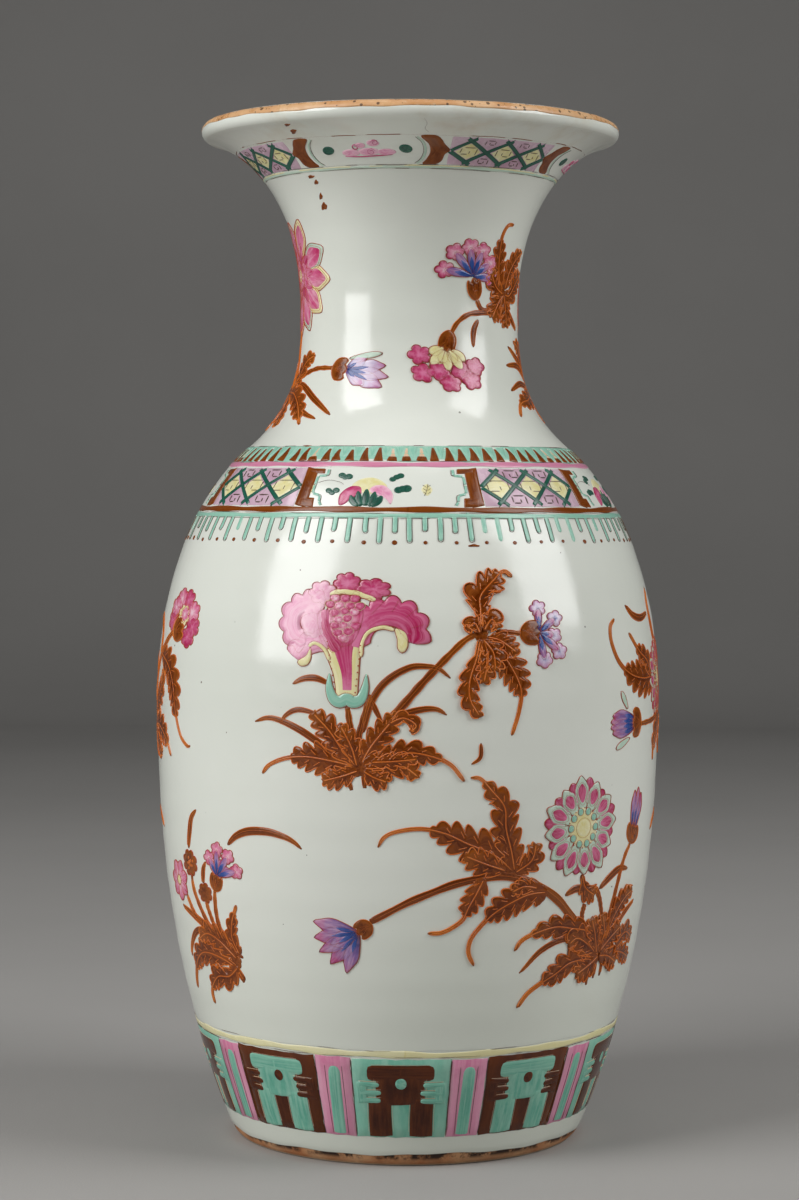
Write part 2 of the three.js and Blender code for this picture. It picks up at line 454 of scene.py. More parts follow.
def blunt(half, share, least=0.02, power=0.5, both=False):
    """Half width that is full up to a share from the end, or from both ends, and rounds off there."""

    def width(t):
        near = np.minimum(t, 1 - t) if both else 1 - t
        return half * np.clip(near / share, least, 1) ** power

    return width


def dot(enamel, place, spot, radius, crown=0.34, sides=12, squash=1.0, tone=None):
    """A round blob of enamel at a flat point."""
    around = all_round(sides)
    edge = spot + radius * (heading(around) * [1, squash])
    return pad(enamel, place, edge, spot, crown, tone=tone)


# ---- Finishes ----
def srgb(red, green, blue):
    """A colour given as it looks on a screen, 0 to 255, in the linear light that shaders use."""
    share = np.array([red, green, blue]) / 255
    light = np.where(share <= 0.04045, share / 12.92, ((share + 0.055) / 1.055) ** 2.4)
    return (*light, 1.0)


def node(tree, kind, inputs=(), **settings):
    """Adds a node. inputs holds pairs of socket and value, or of socket and the output to link."""
    made = tree.nodes.new(kind)
    for key, value in settings.items():
        setattr(made, key, value)
    for socket, value in inputs:
        if isinstance(value, bpy.types.NodeSocket):
            tree.links.new(value, made.inputs[socket])
        else:
            made.inputs[socket].default_value = value
    return made


def object_point(tree):
    """Where a point of the surface is, in metres from the vase's foot."""
    return node(tree, "ShaderNodeTexCoord").outputs["Object"]


def maths(tree, operation, *values):
    """The values joined by the operation, such as first - second or the size of one."""
    return node(tree, "ShaderNodeMath", enumerate(values), operation=operation).outputs[0]


def times(tree, *values):
    """first * second, or first * second + third."""
    return maths(tree, "MULTIPLY_ADD" if len(values) == 3 else "MULTIPLY", *values)


def blended(tree, share, first, second):
    """Colour that goes from first to second with the share."""
    inputs = [(0, share), (6, first), (7, second)]
    return node(tree, "ShaderNodeMix", inputs, data_type="RGBA", blend_type="MIX").outputs[2]


def eased(tree, value, low, high, start=0.0, end=1.0):
    """Smooth step of a value from start to end while it passes from low to high."""
    pairs = [("Value", value), ("From Min", low), ("From Max", high), ("To Min", start), ("To Max", end)]
    return node(tree, "ShaderNodeMapRange", pairs, interpolation_type="SMOOTHSTEP").outputs[0]


def noise(tree, where, scale, detail=3.0, rough=0.55):
    """Cloudy value about a half, with scale clouds to the metre."""
    pairs = [("Vector", where), ("Scale", scale), ("Detail", detail), ("Roughness", rough)]
    return node(tree, "ShaderNodeTexNoise", pairs).outputs["Fac"]


def new_group(name, inputs, outputs):
    """A shader node group with named inputs, given as (name, kind, value), and named outputs."""
    group = bpy.data.node_groups.new(name, "ShaderNodeTree")
    for label, kind, value in inputs:
        socket = group.interface.new_socket(label, in_out="INPUT", socket_type=kind)
        socket.default_value = value
    for label, kind in outputs:
        group.interface.new_socket(label, in_out="OUTPUT", socket_type=kind)
    return group, group.nodes.new("NodeGroupInput").outputs, group.nodes.new("NodeGroupOutput").inputs


COLOUR, NUMBER = "NodeSocketColor", "NodeSocketFloat"


def make_brushed_wash():
    """Enamel washed on from base to tip through a middle colour, streaked along the stroke,
    a little blotchy, and thinner and paler or darker at the edges."""
    group, given, out = new_group(
        "brushed_wash",
        [
            ("Base", COLOUR, (1, 1, 1, 1)),
            ("Middle", COLOUR, (1, 1, 1, 1)),
            ("Tip", COLOUR, (1, 1, 1, 1)),
            ("Edge", COLOUR, (1, 1, 1, 1)),
            ("Turn", NUMBER, 0.5),
            ("Edge share", NUMBER, 0.3),
            ("Streaks", NUMBER, 0.25),
        ],
        [("Color", COLOUR), ("Flow", NUMBER)],
    )
    where = object_point(group)
    wash = node(group, "ShaderNodeUVMap", uv_map="wash").outputs[0]
    parts = node(group, "ShaderNodeSeparateXYZ", [(0, wash)]).outputs
    tone = node(group, "ShaderNodeAttribute", attribute_name="tone").outputs["Fac"]
    blotch = noise(group, where, 420.0, 3.0)
    shifted = times(group, maths(group, "SUBTRACT", blotch, 0.5), 0.55, parts[1])
    run = times(group, maths(group, "SUBTRACT", tone, 0.5), 0.22, shifted)
    to_middle = maths(group, "DIVIDE", run, given["Turn"])
    rest = maths(group, "SUBTRACT", 1.0, given["Turn"])
    to_tip = maths(group, "DIVIDE", maths(group, "SUBTRACT", run, given["Turn"]), rest)
    first = blended(group, eased(group, to_middle, 0.0, 1.0), given["Base"], given["Middle"])
    body = blended(group, eased(group, to_tip, 0.0, 1.0), first, given["Tip"])
    stretch = node(group, "ShaderNodeVectorMath", [(0, wash), (1, (9.0, 1.6, 1.0))], operation="MULTIPLY")
    offset = node(group, "ShaderNodeVectorMath", [(0, stretch.outputs[0])], operation="ADD")
    shift = node(group, "ShaderNodeCombineXYZ", [(2, times(group, tone, 40.0))])
    group.links.new(shift.outputs[0], offset.inputs[1])
    streak = noise(group, offset.outputs[0], 1.0, 4.0, 0.6)
    depth = times(group, eased(group, streak, 0.35, 0.68), given["Streaks"])
    brushed = blended(group, depth, body, given["Edge"])
    side = maths(group, "ABSOLUTE", times(group, parts[0], 2.0, -1.0))
    rim = times(group, eased(group, side, 0.45, 1.0), given["Edge share"])
    group.links.new(blended(group, rim, brushed, given["Edge"]), out["Color"])
    group.links.new(times(group, streak, 0.6, times(group, blotch, 0.4)), out["Flow"])
    return group


def make_speckle():
    """Scattered small spots: the nearest random point in each cell, kept by a share of cells."""
    group, given, out = new_group(
        "speckle",
        [("Scale", NUMBER, 60.0), ("Size", NUMBER, 0.03), ("Share", NUMBER, 0.3)],
        [("Mask", NUMBER)],
    )
    where = object_point(group)
    cells = node(group, "ShaderNodeTexVoronoi", [("Vector", where), ("Scale", given["Scale"])])
    chance = node(group, "ShaderNodeSeparateColor", [(0, cells.outputs["Color"])]).outputs
    size = times(group, given["Size"], times(group, chance[1], 0.8, 0.5))
    near = maths(group, "LESS_THAN", cells.outputs["Distance"], size)
    kept = maths(group, "LESS_THAN", chance[0], given["Share"])
    group.links.new(times(group, near, kept), out["Mask"])
    return group


def make_cloud():
    """Slow change between two colours over the surface."""
    group, given, out = new_group(
        "cloud",
        [("First", COLOUR, (1, 1, 1, 1)), ("Second", COLOUR, (1, 1, 1, 1)), ("Scale", NUMBER, 12.0)],
        [("Color", COLOUR), ("Share", NUMBER)],
    )
    where = object_point(group)
    share = eased(group, noise(group, where, given["Scale"], 4.0), 0.3, 0.7)
    group.links.new(blended(group, share, given["First"], given["Second"]), out["Color"])
    group.links.new(share, out["Share"])
    return group


BRUSHED_WASH, SPECKLE, CLOUD = make_brushed_wash(), make_speckle(), make_cloud()


def use(tree, group, inputs):
    """Places a node group, and fills in its inputs once it has them."""
    made = node(tree, "ShaderNodeGroup", node_tree=group)
    for socket, value in inputs:
        made.inputs[socket].default_value = value
    return made.outputs


def clouded(tree, first, second, scale):
    """Colour that wanders between two colours."""
    inputs = [("First", srgb(*first)), ("Second", srgb(*second)), ("Scale", scale)]
    return use(tree, CLOUD, inputs)["Color"]


def speckled(tree, scale, size, share):
    """Mask of small spots."""
    return use(tree, SPECKLE, [("Scale", scale), ("Size", size), ("Share", share)])["Mask"]


def new_finish(name, roughness, ior=1.5):
    """A material with its shader's roughness and the bending of light in its skin."""
    material = bpy.data.materials.new(name)
    material.use_nodes = True
    tree = material.node_tree
    shader = tree.nodes["Principled BSDF"]
    shader.inputs["Roughness"].default_value = roughness
    shader.inputs["IOR"].default_value = ior
    return material, tree, shader


def dress(tree, shader, colour, roughness, height, depth):
    """Gives a finish its colour, its changing roughness, and a skin raised by up to depth metres."""
    skin = node(tree, "ShaderNodeBump", [("Height", height), ("Distance", depth)])
    parts = {"Base Color": colour, "Roughness": roughness, "Normal": skin.outputs[0]}
    for socket, value in parts.items():
        if value is not None:
            tree.links.new(value, shader.inputs[socket])


def enamel_finish(slot_name, name, base, middle, tip, edge, turn, edge_share, streaks, roughness, ior=1.55):
    """Glossy enamel brushed on in a wash of colour, with the unevenness of the brush in its skin.
    Returns the material and the slot name that it was given."""
    material, tree, shader = new_finish(name, roughness, ior)
    wash = use(
        tree,
        BRUSHED_WASH,
        [
            ("Base", srgb(*base)),
            ("Middle", srgb(*middle)),
            ("Tip", srgb(*tip)),
            ("Edge", srgb(*edge)),
            ("Turn", turn),
            ("Edge share", edge_share),
            ("Streaks", streaks),
        ],
    )
    rough = eased(tree, wash["Flow"], 0.3, 0.7, roughness * 0.7, roughness * 1.5)
    dress(tree, shader, wash["Color"], rough, wash["Flow"], 0.00012)
    return material, slot_name


def glaze_finish():
    """Clear glaze over white porcelain: a grey-green white, clouded, pinholed and flecked with iron,
    darker and greener towards the bottom as painted shade, and stained a little under the lip."""
    material, tree, shader = new_finish("porcelain_glaze", 0.08, 1.6)
    where = object_point(tree)
    height = node(tree, "ShaderNodeSeparateXYZ", [(0, where)]).outputs[2]
    cloud = clouded(tree, (234, 237, 228), (228, 232, 222), 9.0)
    # painted shade: the glaze is blended darker and greener towards the bottom of the vase
    low = eased(tree, height, 0.16, 0.0)
    low_shade = blended(tree, times(tree, low, 0.5), cloud, srgb(216, 222, 208))
    stain = eased(tree, noise(tree, where, 22.0, 5.0, 0.65), 0.56, 0.8)
    high = eased(tree, height, 0.425, 0.448)
    stained = blended(
        tree, times(tree, stain, times(tree, high, 0.5, 0.05)), low_shade, srgb(196, 176, 140)
    )
    iron = speckled(tree, 95.0, 0.05, 0.09)
    flecked = blended(tree, times(tree, iron, 0.75), stained, srgb(92, 84, 70))
    pins = speckled(tree, 150.0, 0.06, 0.12)
    pinned = blended(tree, times(tree, pins, 0.3), flecked, srgb(176, 180, 168))
    rough = eased(tree, noise(tree, where, 60.0, 4.0), 0.3, 0.75, 0.12, 0.23)
    peel = noise(tree, where, 260.0, 2.0)
    flat = node(tree, "ShaderNodeVectorMath", [(0, where), (1, (7.0, 7.0, 150.0))], operation="MULTIPLY")
    thrown = times(tree, noise(tree, flat.outputs[0], 1.0, 2.0), 1.3, peel)
    skin = times(tree, pins, -0.8, thrown)
    dress(tree, shader, pinned, rough, skin, 0.00004)
    return material


def biscuit_finish():
    """Unglazed porcelain of the foot: buff, burnt orange and brown where the glaze ends, gritty."""
    material, tree, shader = new_finish("burnt_biscuit", 0.8, 1.45)
    where = object_point(tree)
    height = node(tree, "ShaderNodeSeparateXYZ", [(0, where)]).outputs[2]
    cloud = clouded(tree, (206, 160, 118), (178, 112, 66), 55.0)
    burn = eased(tree, noise(tree, where, 120.0, 5.0, 0.7), 0.4, 0.56)
    edge = eased(tree, height, 0.0022, 0.0042)
    burnt = blended(tree, times(tree, burn, times(tree, edge, 0.85, 0.14)), cloud, srgb(44, 26, 16))
    rubbed = blended(tree, eased(tree, height, 0.0012, 0.0002), burnt, srgb(205, 186, 160))
    grit = noise(tree, where, 900.0, 4.0, 0.7)
    dress(tree, shader, rubbed, eased(tree, grit, 0.3, 0.7, 0.7, 0.9), grit, 0.00025)
    return material


def slip_finish(name, first, second):
    """Bare fired porcelain or slip, as it lies under the glaze and inside the seams."""
    material, tree, shader = new_finish(name, 0.65, 1.45)
    cloud = clouded(tree, first, second, 40.0)
    grit = noise(tree, object_point(tree), 700.0, 4.0, 0.7)
    dress(tree, shader, cloud, eased(tree, grit, 0.3, 0.7, 0.55, 0.8), grit, 0.00015)
    return material


def lip_finish():
    """Brown dressing on the lip: buff to rust, rubbed through to white, with dark pits."""
    material, tree, shader = new_finish("lip_dressing", 0.32, 1.5)
    where = object_point(tree)
    cloud = clouded(tree, (226, 184, 138), (206, 150, 98), 70.0)
    rub = eased(tree, noise(tree, where, 95.0, 5.0, 0.7), 0.56, 0.7)
    rubbed = blended(tree, times(tree, rub, 0.6), cloud, srgb(236, 218, 186))
    pits = speckled(tree, 420.0, 0.3, 0.6)
    pitted = blended(tree, times(tree, pits, 0.8), rubbed, srgb(60, 38, 24))
    worn = noise(tree, where, 300.0, 4.0)
    rough = eased(tree, worn, 0.3, 0.7, 0.2, 0.5)
    dress(tree, shader, pitted, rough, times(tree, pits, -0.7, worn), 0.0002)
    return material


PORCELAIN_GLAZE = glaze_finish()
BURNT_BISCUIT = biscuit_finish()
LIP_DRESSING = lip_finish()
BARE_PORCELAIN = slip_finish("bare_porcelain", (226, 222, 210), (214, 208, 194))
BARE_SLIP = slip_finish("luting_slip", (222, 214, 198), (205, 195, 176))
BROWN = enamel_finish("brown_enamel", "brown_enamel", (120, 54, 10), (92, 36, 2), (138, 72, 18),
                      (164, 88, 32), 0.5, 0.5, 0.5, 0.13, 1.42)
LEAF_LINE = enamel_finish("iron_red_outline", "orange_brown_line", (218, 120, 46), (206, 104, 34),
                          (222, 128, 54), (184, 90, 30), 0.5, 0.2, 0.4, 0.2, 1.45)
BAND_BROWN = enamel_finish("brown_enamel", "band_brown_enamel", (120, 58, 12), (102, 44, 4), (124, 60, 12),
                           (158, 88, 36), 0.5, 0.35, 0.5, 0.13, 1.42)
PETAL_LINE = enamel_finish("iron_red_outline", "iron_red_line", (192, 90, 60), (180, 76, 50), (192, 90, 60),
                           (158, 68, 48), 0.5, 0.2, 0.4, 0.25, 1.45)
DARK_LINE = enamel_finish("iron_red_outline", "dark_brown_line", (84, 60, 44), (70, 50, 40), (84, 60, 44),
                          (110, 80, 60), 0.5, 0.2, 0.5, 0.35)
ROSE = enamel_finish("pink_enamel", "rose_petal", (240, 200, 212), (220, 106, 150), (190, 44, 98),
                     (244, 206, 218), 0.45, 0.15, 0.5, 0.16)
DEEP_ROSE = enamel_finish("pink_enamel", "deep_rose_petal", (222, 124, 164), (194, 58, 110), (172, 28, 78),
                          (224, 136, 170), 0.4, 0.2, 0.6, 0.16)
PALE_ROSE = enamel_finish("pink_enamel", "pale_rose_petal", (232, 150, 184), (226, 138, 178), (244, 190, 208),
                          (248, 206, 220), 0.5, 0.35, 0.6, 0.16)
BLUEBELL = enamel_finish("blue_enamel", "bluebell_petal", (12, 44, 112), (128, 96, 158), (180, 64, 122),
                         (218, 178, 206), 0.5, 0.16, 0.6, 0.16)
DEEP_BLUE = enamel_finish("blue_enamel", "deep_blue_wash", (14, 44, 112), (34, 74, 148), (112, 118, 186),
                          (74, 96, 166), 0.55, 0.4, 0.4, 0.16)
LILAC = enamel_finish("blue_enamel", "lilac_petal", (50, 88, 172), (204, 188, 218), (198, 128, 176),
                      (236, 222, 234), 0.45, 0.14, 0.55, 0.16)
YELLOW = enamel_finish("yellow_enamel", "pale_yellow_enamel", (236, 228, 170), (230, 220, 150),
                       (238, 232, 182), (242, 238, 204), 0.5, 0.4, 0.4, 0.2)
TURQUOISE = enamel_finish("turquoise_enamel", "turquoise_enamel", (146, 202, 180), (130, 192, 170),
                          (150, 206, 184), (188, 222, 204), 0.5, 0.35, 0.45, 0.14)
# painted shade: a darker copy of the turquoise enamel, used only in the foot band low on the vase
SHADED_FOOT_TURQUOISE = enamel_finish("turquoise_enamel", "shaded_foot_turquoise_enamel", (112, 184, 160), (94, 170, 148),
                               (120, 188, 164), (160, 208, 188), 0.5, 0.35, 0.6, 0.12)
GREEN = enamel_finish("green_enamel", "dark_green_enamel", (26, 84, 70), (18, 70, 60), (30, 90, 74),
                      (60, 120, 96), 0.5, 0.35, 0.45, 0.16)
CELADON = enamel_finish("celadon_enamel", "pale_green_enamel", (196, 220, 200), (184, 214, 194),
                        (202, 222, 204), (216, 230, 214), 0.5, 0.3, 0.3, 0.2)
# painted shade: a darker copy of the band's brown enamel, used only in the foot band low on the vase
SHADED_FOOT_BROWN = enamel_finish("brown_enamel", "shaded_foot_brown_enamel", (78, 30, 4), (58, 18, 0), (80, 32, 4),
                           (116, 58, 18), 0.5, 0.35, 0.4, 0.1, 1.4)
BAND_PINK = enamel_finish("pink_enamel", "band_pink_enamel", (214, 130, 164), (222, 144, 174),
                          (210, 120, 156), (236, 182, 202), 0.5, 0.35, 0.35, 0.16)
MAUVE = enamel_finish("pink_enamel", "mauve_ground", (204, 166, 186), (194, 152, 176), (206, 172, 190),
                      (220, 196, 208), 0.5, 0.35, 0.6, 0.22)
BAR_GREEN = enamel_finish("green_enamel", "lattice_bar_green", (44, 108, 88), (32, 94, 76), (44, 108, 88),
                          (22, 74, 62), 0.5, 0.3, 0.4, 0.16)
PEACH = enamel_finish("iron_red_outline", "worn_peach_ground", (230, 206, 178), (222, 190, 156),
                      (232, 212, 188), (214, 160, 116), 0.5, 0.25, 0.4, 0.4)


def panel(enamel, low_angle, high_angle, low, high, crown=0.2, ragged=0.12):
    """Raised ground between two angles and two heights: a plateau over a grid of angle and length,
    its rim let into the glaze, closed by the same grid laid deeper."""
    columns = max(4, int((high_angle - low_angle) / 2.5))
    rows = max(4, int((high - low) / 4))
    rim = 0.35
    middle = (low_angle + high_angle) / 2
    per_degree = np.pi / 180 * outline((low + high) / 2)
    inset, height_inset = rim / per_degree, rim
    angles = np.r_[low_angle, np.linspace(low_angle + inset, high_angle - inset, columns), high_angle]
    start, stop = length_at(low), length_at(high)
    lengths = np.r_[start, np.linspace(start + height_inset, stop - height_inset, rows), stop]
    angle, length = np.meshgrid(angles, lengths)
    angle = angle + ragged * np.sin(length / 2.3 + low_angle) * (np.abs(angle - middle) > 1) / per_degree
    length = length + ragged * np.sin(np.radians(angle) * 57 + low)
    inside = np.zeros(angle.shape)
    inside[1:-1, 1:-1] = 1
    z = height_at(length)
    points = on_vase(np.radians(angle), z, SUNK + (crown - SUNK) * inside)
    deep = on_vase(np.radians(angle), z, -0.2 * np.ones(angle.shape))
    count = angle.size
    index = np.arange(count).reshape(angle.shape)
    under = index + count
    rim_mask = inside == 0
    under[rim_mask] = index[rim_mask]

    keep = inside.ravel() == 1
    renumber = np.r_[np.arange(count), count + np.cumsum(keep) - 1]
    quads = renumber[np.concatenate([grid_faces(index), grid_faces(under)[:, ::-1]])]
    wash = np.stack(
        [(angle - low_angle) / (high_angle - low_angle), (length - start) / (stop - start)], -1
    ).reshape(-1, 2)
    enamel.take(
        np.concatenate([points.reshape(-1, 3), deep.reshape(-1, 3)[keep]]),
        quads,
        NO_TRIS,
        np.concatenate([wash, wash[keep]]),
    )


def hoop(enamel, z, half, crown=0.25, profile=FILL, sway=0.15, worn=0.0, count=400):
    """A line right round the vase: height and width sway a little with the angle, and where a
    wear wave passes its threshold the line thins to nothing."""
    across, rise = profile
    angle = all_round(count)[:, None]
    a, b, c = rng.random(3) * 6.28
    drift = sway * (np.sin(3 * angle + a) + 0.6 * np.sin(11 * angle + b) + 0.3 * np.sin(37 * angle + c))
    wear = 0.5 + 0.25 * np.sin(9 * angle + c) + 0.25 * np.sin(23 * angle + a)
    width = half * (1 + 0.22 * np.sin(17 * angle + b)) * np.where(wear < worn, 0.12, 1)
    length = length_at(z) + drift + across * width
    lift = SUNK + (crown * np.where(wear < worn, 0.3, 1) - SUNK) * rise
    points = on_vase(angle * np.ones(len(across)), height_at(length), lift).reshape(-1, 3)
    index = np.arange(count * len(across)).reshape(count, -1)
    wash = wash_over(across, angle / 6.2832, lift.shape)
    enamel.take(points, ribbon(index, np.roll(index, -1, 0)), NO_TRIS, wash, 0.5)


# ---- Porcelain ----
def under_skin(z, depth):
    """Point a depth inside the outer surface, square to it, as (radius, height)."""
    lean = slope(z)
    across = 1 / np.sqrt(1 + lean**2)
    return np.stack([outline(z) - depth * across, z + depth * across * lean], -1)


def roll(radius, start, stop, count):
    """Arc round the lip's centre between two angles in degrees."""
    turn = np.radians(np.linspace(start, stop, count))
    return LIP_CENTRE + radius * heading(turn)


RING_OUTER, RING_INNER, LEDGE_INNER, LEDGE_HEIGHT = 75.0, 66.0, 64.5, 10.5
REBATE, PLATE_UNDERSIDE, FLOOR, COVE = 70.5, 11.4, 19.4, 5.0
GLAZE_EDGE = 5.2  # height at which the glaze stops above the foot
FLARE_TOP = FLARE_END[1]


def glaze_edge(angle):
    """Height of the glaze's wiped lower edge, a little wavy."""
    return GLAZE_EDGE + 0.5 * np.sin(3 * angle + 1) + 0.35 * np.sin(8 * angle) + 0.2 * np.sin(21 * angle + 2)


def make_glaze():
    """The coat of glaze, in one closed skin: out over the floor under it, up inside the wall, over
    the lip and down to the foot, then back on top of itself with the throwing marks of the wall."""
    cove = under_skin(FLOOR + COVE, wall(FLOOR + COVE))
    hidden_floor = [(cove[0] - COVE - 20, FLOOR - 0.1), (cove[0] - COVE, FLOOR - 0.1)]
    inner = height_at(np.linspace(length_at(FLOOR + COVE), length_at(FLARE_TOP), 40))
    hidden_in = under_skin(inner, wall(inner) - 0.4)
    hidden_lip = roll(LIP_ROLL - 0.6, 120, -60, 8)
    outer = height_at(np.linspace(length_at(FLARE_TOP), length_at(GLAZE_EDGE + 1), 62))
    hidden_out = under_skin(outer, 0.6)
    hidden = np.vstack([hidden_floor, hidden_in, hidden_lip, hidden_out])
    edge = glaze_edge(ANGLES)
    start = np.stack([outline(edge) - 0.3, edge], -1)
    bead = np.stack([outline(edge) + 0.28, edge - 0.1], -1)

    def ringed(pairs):
        """One ring from a (radius, height) pair for each angle round."""
        return np.stack([pairs[:, 0] * np.sin(ANGLES), -pairs[:, 0] * np.cos(ANGLES), pairs[:, 1]], -1)[None]

    share = np.linspace(0, 1, 186)[:, None]
    climb = height_at(length_at(edge + 0.3) + share * (length_at(FLARE_TOP) - length_at(edge + 0.3)))
    outside = on_vase(ANGLES * np.ones_like(climb), climb, 0.0)
    over = spun(roll(LIP_ROLL + GLAZE, -58, 118, 20))
    down = height_at(np.linspace(length_at(FLARE_TOP), length_at(FLOOR + COVE + 1), 54))
    within = under_skin(down, wall(down) + GLAZE)
    bottom = [(cove[0] - 1.5, FLOOR + 2.2), (cove[0] - COVE, FLOOR + GLAZE), (cove[0] - 30, FLOOR + GLAZE)]
    rings = np.concatenate(
        [spun(hidden), ringed(start), ringed(bead), outside, over, spun(within), spun(bottom)]
    )
    return shell("glaze_coat", rings, PORCELAIN_GLAZE, (FLOOR - 0.1, FLOOR + GLAZE))


def make_base_glaze():
    """Glaze inside the recess under the vase: over the plate's underside and down the ring."""
    path = [(60, PLATE_UNDERSIDE - 0.3), (LEDGE_INNER - 1.6, PLATE_UNDERSIDE - 0.5)]
    path += [(LEDGE_INNER - 0.5, PLATE_UNDERSIDE - 1.6), (LEDGE_INNER - 0.3, 6.0), (LEDGE_INNER - 0.3, 2.6)]
    path += [(LEDGE_INNER + 0.1, 2.2), (LEDGE_INNER + 0.4, 2.6), (LEDGE_INNER + 0.4, PLATE_UNDERSIDE + 0.1)]
    path += [(60, PLATE_UNDERSIDE + 0.1)]
    poles = (PLATE_UNDERSIDE - 0.3, PLATE_UNDERSIDE + 0.1)
    return shell("base_glaze", spun(path), PORCELAIN_GLAZE, poles)


def make_foot():
    """Foot ring and lowest wall in bare porcelain: outside up, inside down, the ledge and ring below,
    with the ring's edges softened by wear."""
    heights = np.r_[2.4, 4, 6, 9, np.linspace(14, FOOT_SEAM - 0.5, 8)]
    outside = under_skin(heights, 0.0)
    inside_heights = np.linspace(FOOT_SEAM - 0.5, FLOOR + COVE, 6)
    inside = under_skin(inside_heights, wall(inside_heights))
    low = [(RING_INNER + 0.5, 0.0), (RING_OUTER - 0.4, 0.0), (RING_OUTER + 0.4, 0.25), (RING_OUTER + 1.3,
            1.1)]
    cove = [(inside[-1, 0] - COVE * 0.3, FLOOR + COVE * 0.3), (inside[-1, 0] - COVE, FLOOR)]
    ledge = [(REBATE, FLOOR), (REBATE, LEDGE_HEIGHT), (LEDGE_INNER, LEDGE_HEIGHT), (LEDGE_INNER, 2.0)]
    profile = np.vstack([low, outside, inside, cove, ledge, [(RING_INNER - 0.6, 0.7)]])
    piece = shell("turned_foot", spun(profile), BURNT_BISCUIT)
    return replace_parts(piece, "foot_section")


def make_lip_dressing():
    """Thin brown dressing over the rolled lip: an arc round the lip whose two ends wander."""
    wander = 5 * np.sin(5 * ANGLES + 1) + 4 * np.sin(13 * ANGLES) + 3 * np.sin(31 * ANGLES + 2)
    share = np.linspace(0, 1, 14)[:, None]
    start, stop = 9 + 0.8 * wander, 108 - wander[::-1]
    turn = np.radians(start + share * (stop - start))
    lump = 0.05 * np.sin(19 * ANGLES) + 0.04 * np.sin(47 * ANGLES + 1)
    lift = np.where((share > 0) & (share < 1), GLAZE + 0.16 + lump, GLAZE - 0.05)
    radius = LIP_ROLL + lift
    over = [LIP_CENTRE[0] + radius * np.cos(turn), LIP_CENTRE[1] + radius * np.sin(turn)]
    below = np.radians(start + share[[-1, 7, 0]] * (stop - start))
    deep = LIP_ROLL + np.array([[GLAZE - 0.06], [GLAZE - 0.2], [GLAZE - 0.06]]) * np.ones(AROUND)
    back = [LIP_CENTRE[0] + deep * np.cos(below), LIP_CENTRE[1] + deep * np.sin(below)]
    r, z = np.concatenate([over[0], back[0][1:2]]), np.concatenate([over[1], back[1][1:2]])
    rings = np.stack([r * np.sin(ANGLES), -r * np.cos(ANGLES), z], -1)
    return shell("lip_dressing", rings, LIP_DRESSING)


make_glaze()
make_base_glaze()
make_foot()
make_lip_dressing()
for name, cad_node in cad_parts.items():
    cad_node.data.materials.clear()
    cad_node.data.materials.append(BARE_SLIP if name.endswith("slip") else BARE_PORCELAIN)


# ---- Shoulder band ----
def key_fret(enamel, place, spot, size, flip=1.0):
    """A plain square spiral, as brush lines between corners."""
    corners = np.array([(-1, -1), (-1, 1), (1, 1), (1, -0.6), (-0.15, -0.6), (-0.15, 0.3)])
    path = spot + 1.3 * size * corners * [flip, 1]
    for first, second in zip(path[:-1], path[1:]):
        line(enamel, place, np.linspace(first, second, 5), 0.46, 0.42)


def bar(dark, pale, place, ends, half=0.85):
    """A lattice bar: a broad green stroke with a darker line down each side."""
    path = place.straight(ends, 14)
    stroke(pale, place, path, half, 0.34)
    along = path[-1] - path[0]
    aside = np.array([-along[1], along[0]]) / np.linalg.norm(along)
    for side in (-1, 1):
        line(dark, place, path + aside * half * 0.85 * side, 0.34, 0.46)


def lattice(enamels, low_angle, high_angle, low, high, pitch, rise):
    """Bars crossing at a pitch in degrees, each rising by rise in its run over the band's height;
    pale diamonds between them, a key fret in each cell, on a mauve ground."""
    ground, diamond, dark, pale, fret = enamels
    middle = (low_angle + high_angle) / 2
    place = Place(middle)
    panel(ground, low_angle, high_angle, low, high, 0.12)
    mid, half_height = (low + high) / 2, (high - low) / 2
    count = max(1, round((high_angle - low_angle) / pitch))
    pitch = (high_angle - low_angle) / count
    reach = pitch * rise / 2
    for k in range(count):
        centre = low_angle + pitch * (k + 0.5)
        tall = half_height * min(1.0, pitch / 2 / reach)
        corners = place.lay([(centre - pitch / 2, mid), (centre, mid + tall), (centre + pitch / 2, mid),
                             (centre, mid - tall)])
        heart = place.spot((centre, mid))
        edge = np.concatenate([np.linspace(corners[i], corners[(i + 1) % 4], 8)[:-1] for i in range(4)])
        pad(diamond, place, heart + (edge - heart) * 0.86, heart, 0.2)
        key_fret(fret, place, heart, np.array([3.9, 2.5]) * tall / 6, 1 if k % 2 else -1)
    for k in range(count + 1):
        centre = low_angle + pitch * k
        for turn in (-1, 1):
            points = np.array([(centre - reach * turn, low + 0.2), (centre + reach * turn, high - 0.2)])
            share = np.clip((np.clip(points[:, 0], low_angle, high_angle) - points[0, 0]) / (points[1,
                    0] - points[0, 0]), 0, 1)
            ends = points[0] + share[:, None] * (points[1] - points[0])
            if abs(ends[1, 0] - ends[0, 0]) > 1.5:
                bar(dark, pale, place, ends)
        for up in (-1, 1):
            if low_angle + 1 < centre < high_angle - 1:
                spot = place.spot((centre, mid + up * half_height * 0.66))
                key_fret(fret, place, spot, np.array([2.6, 1.7]) * half_height / 8, up)


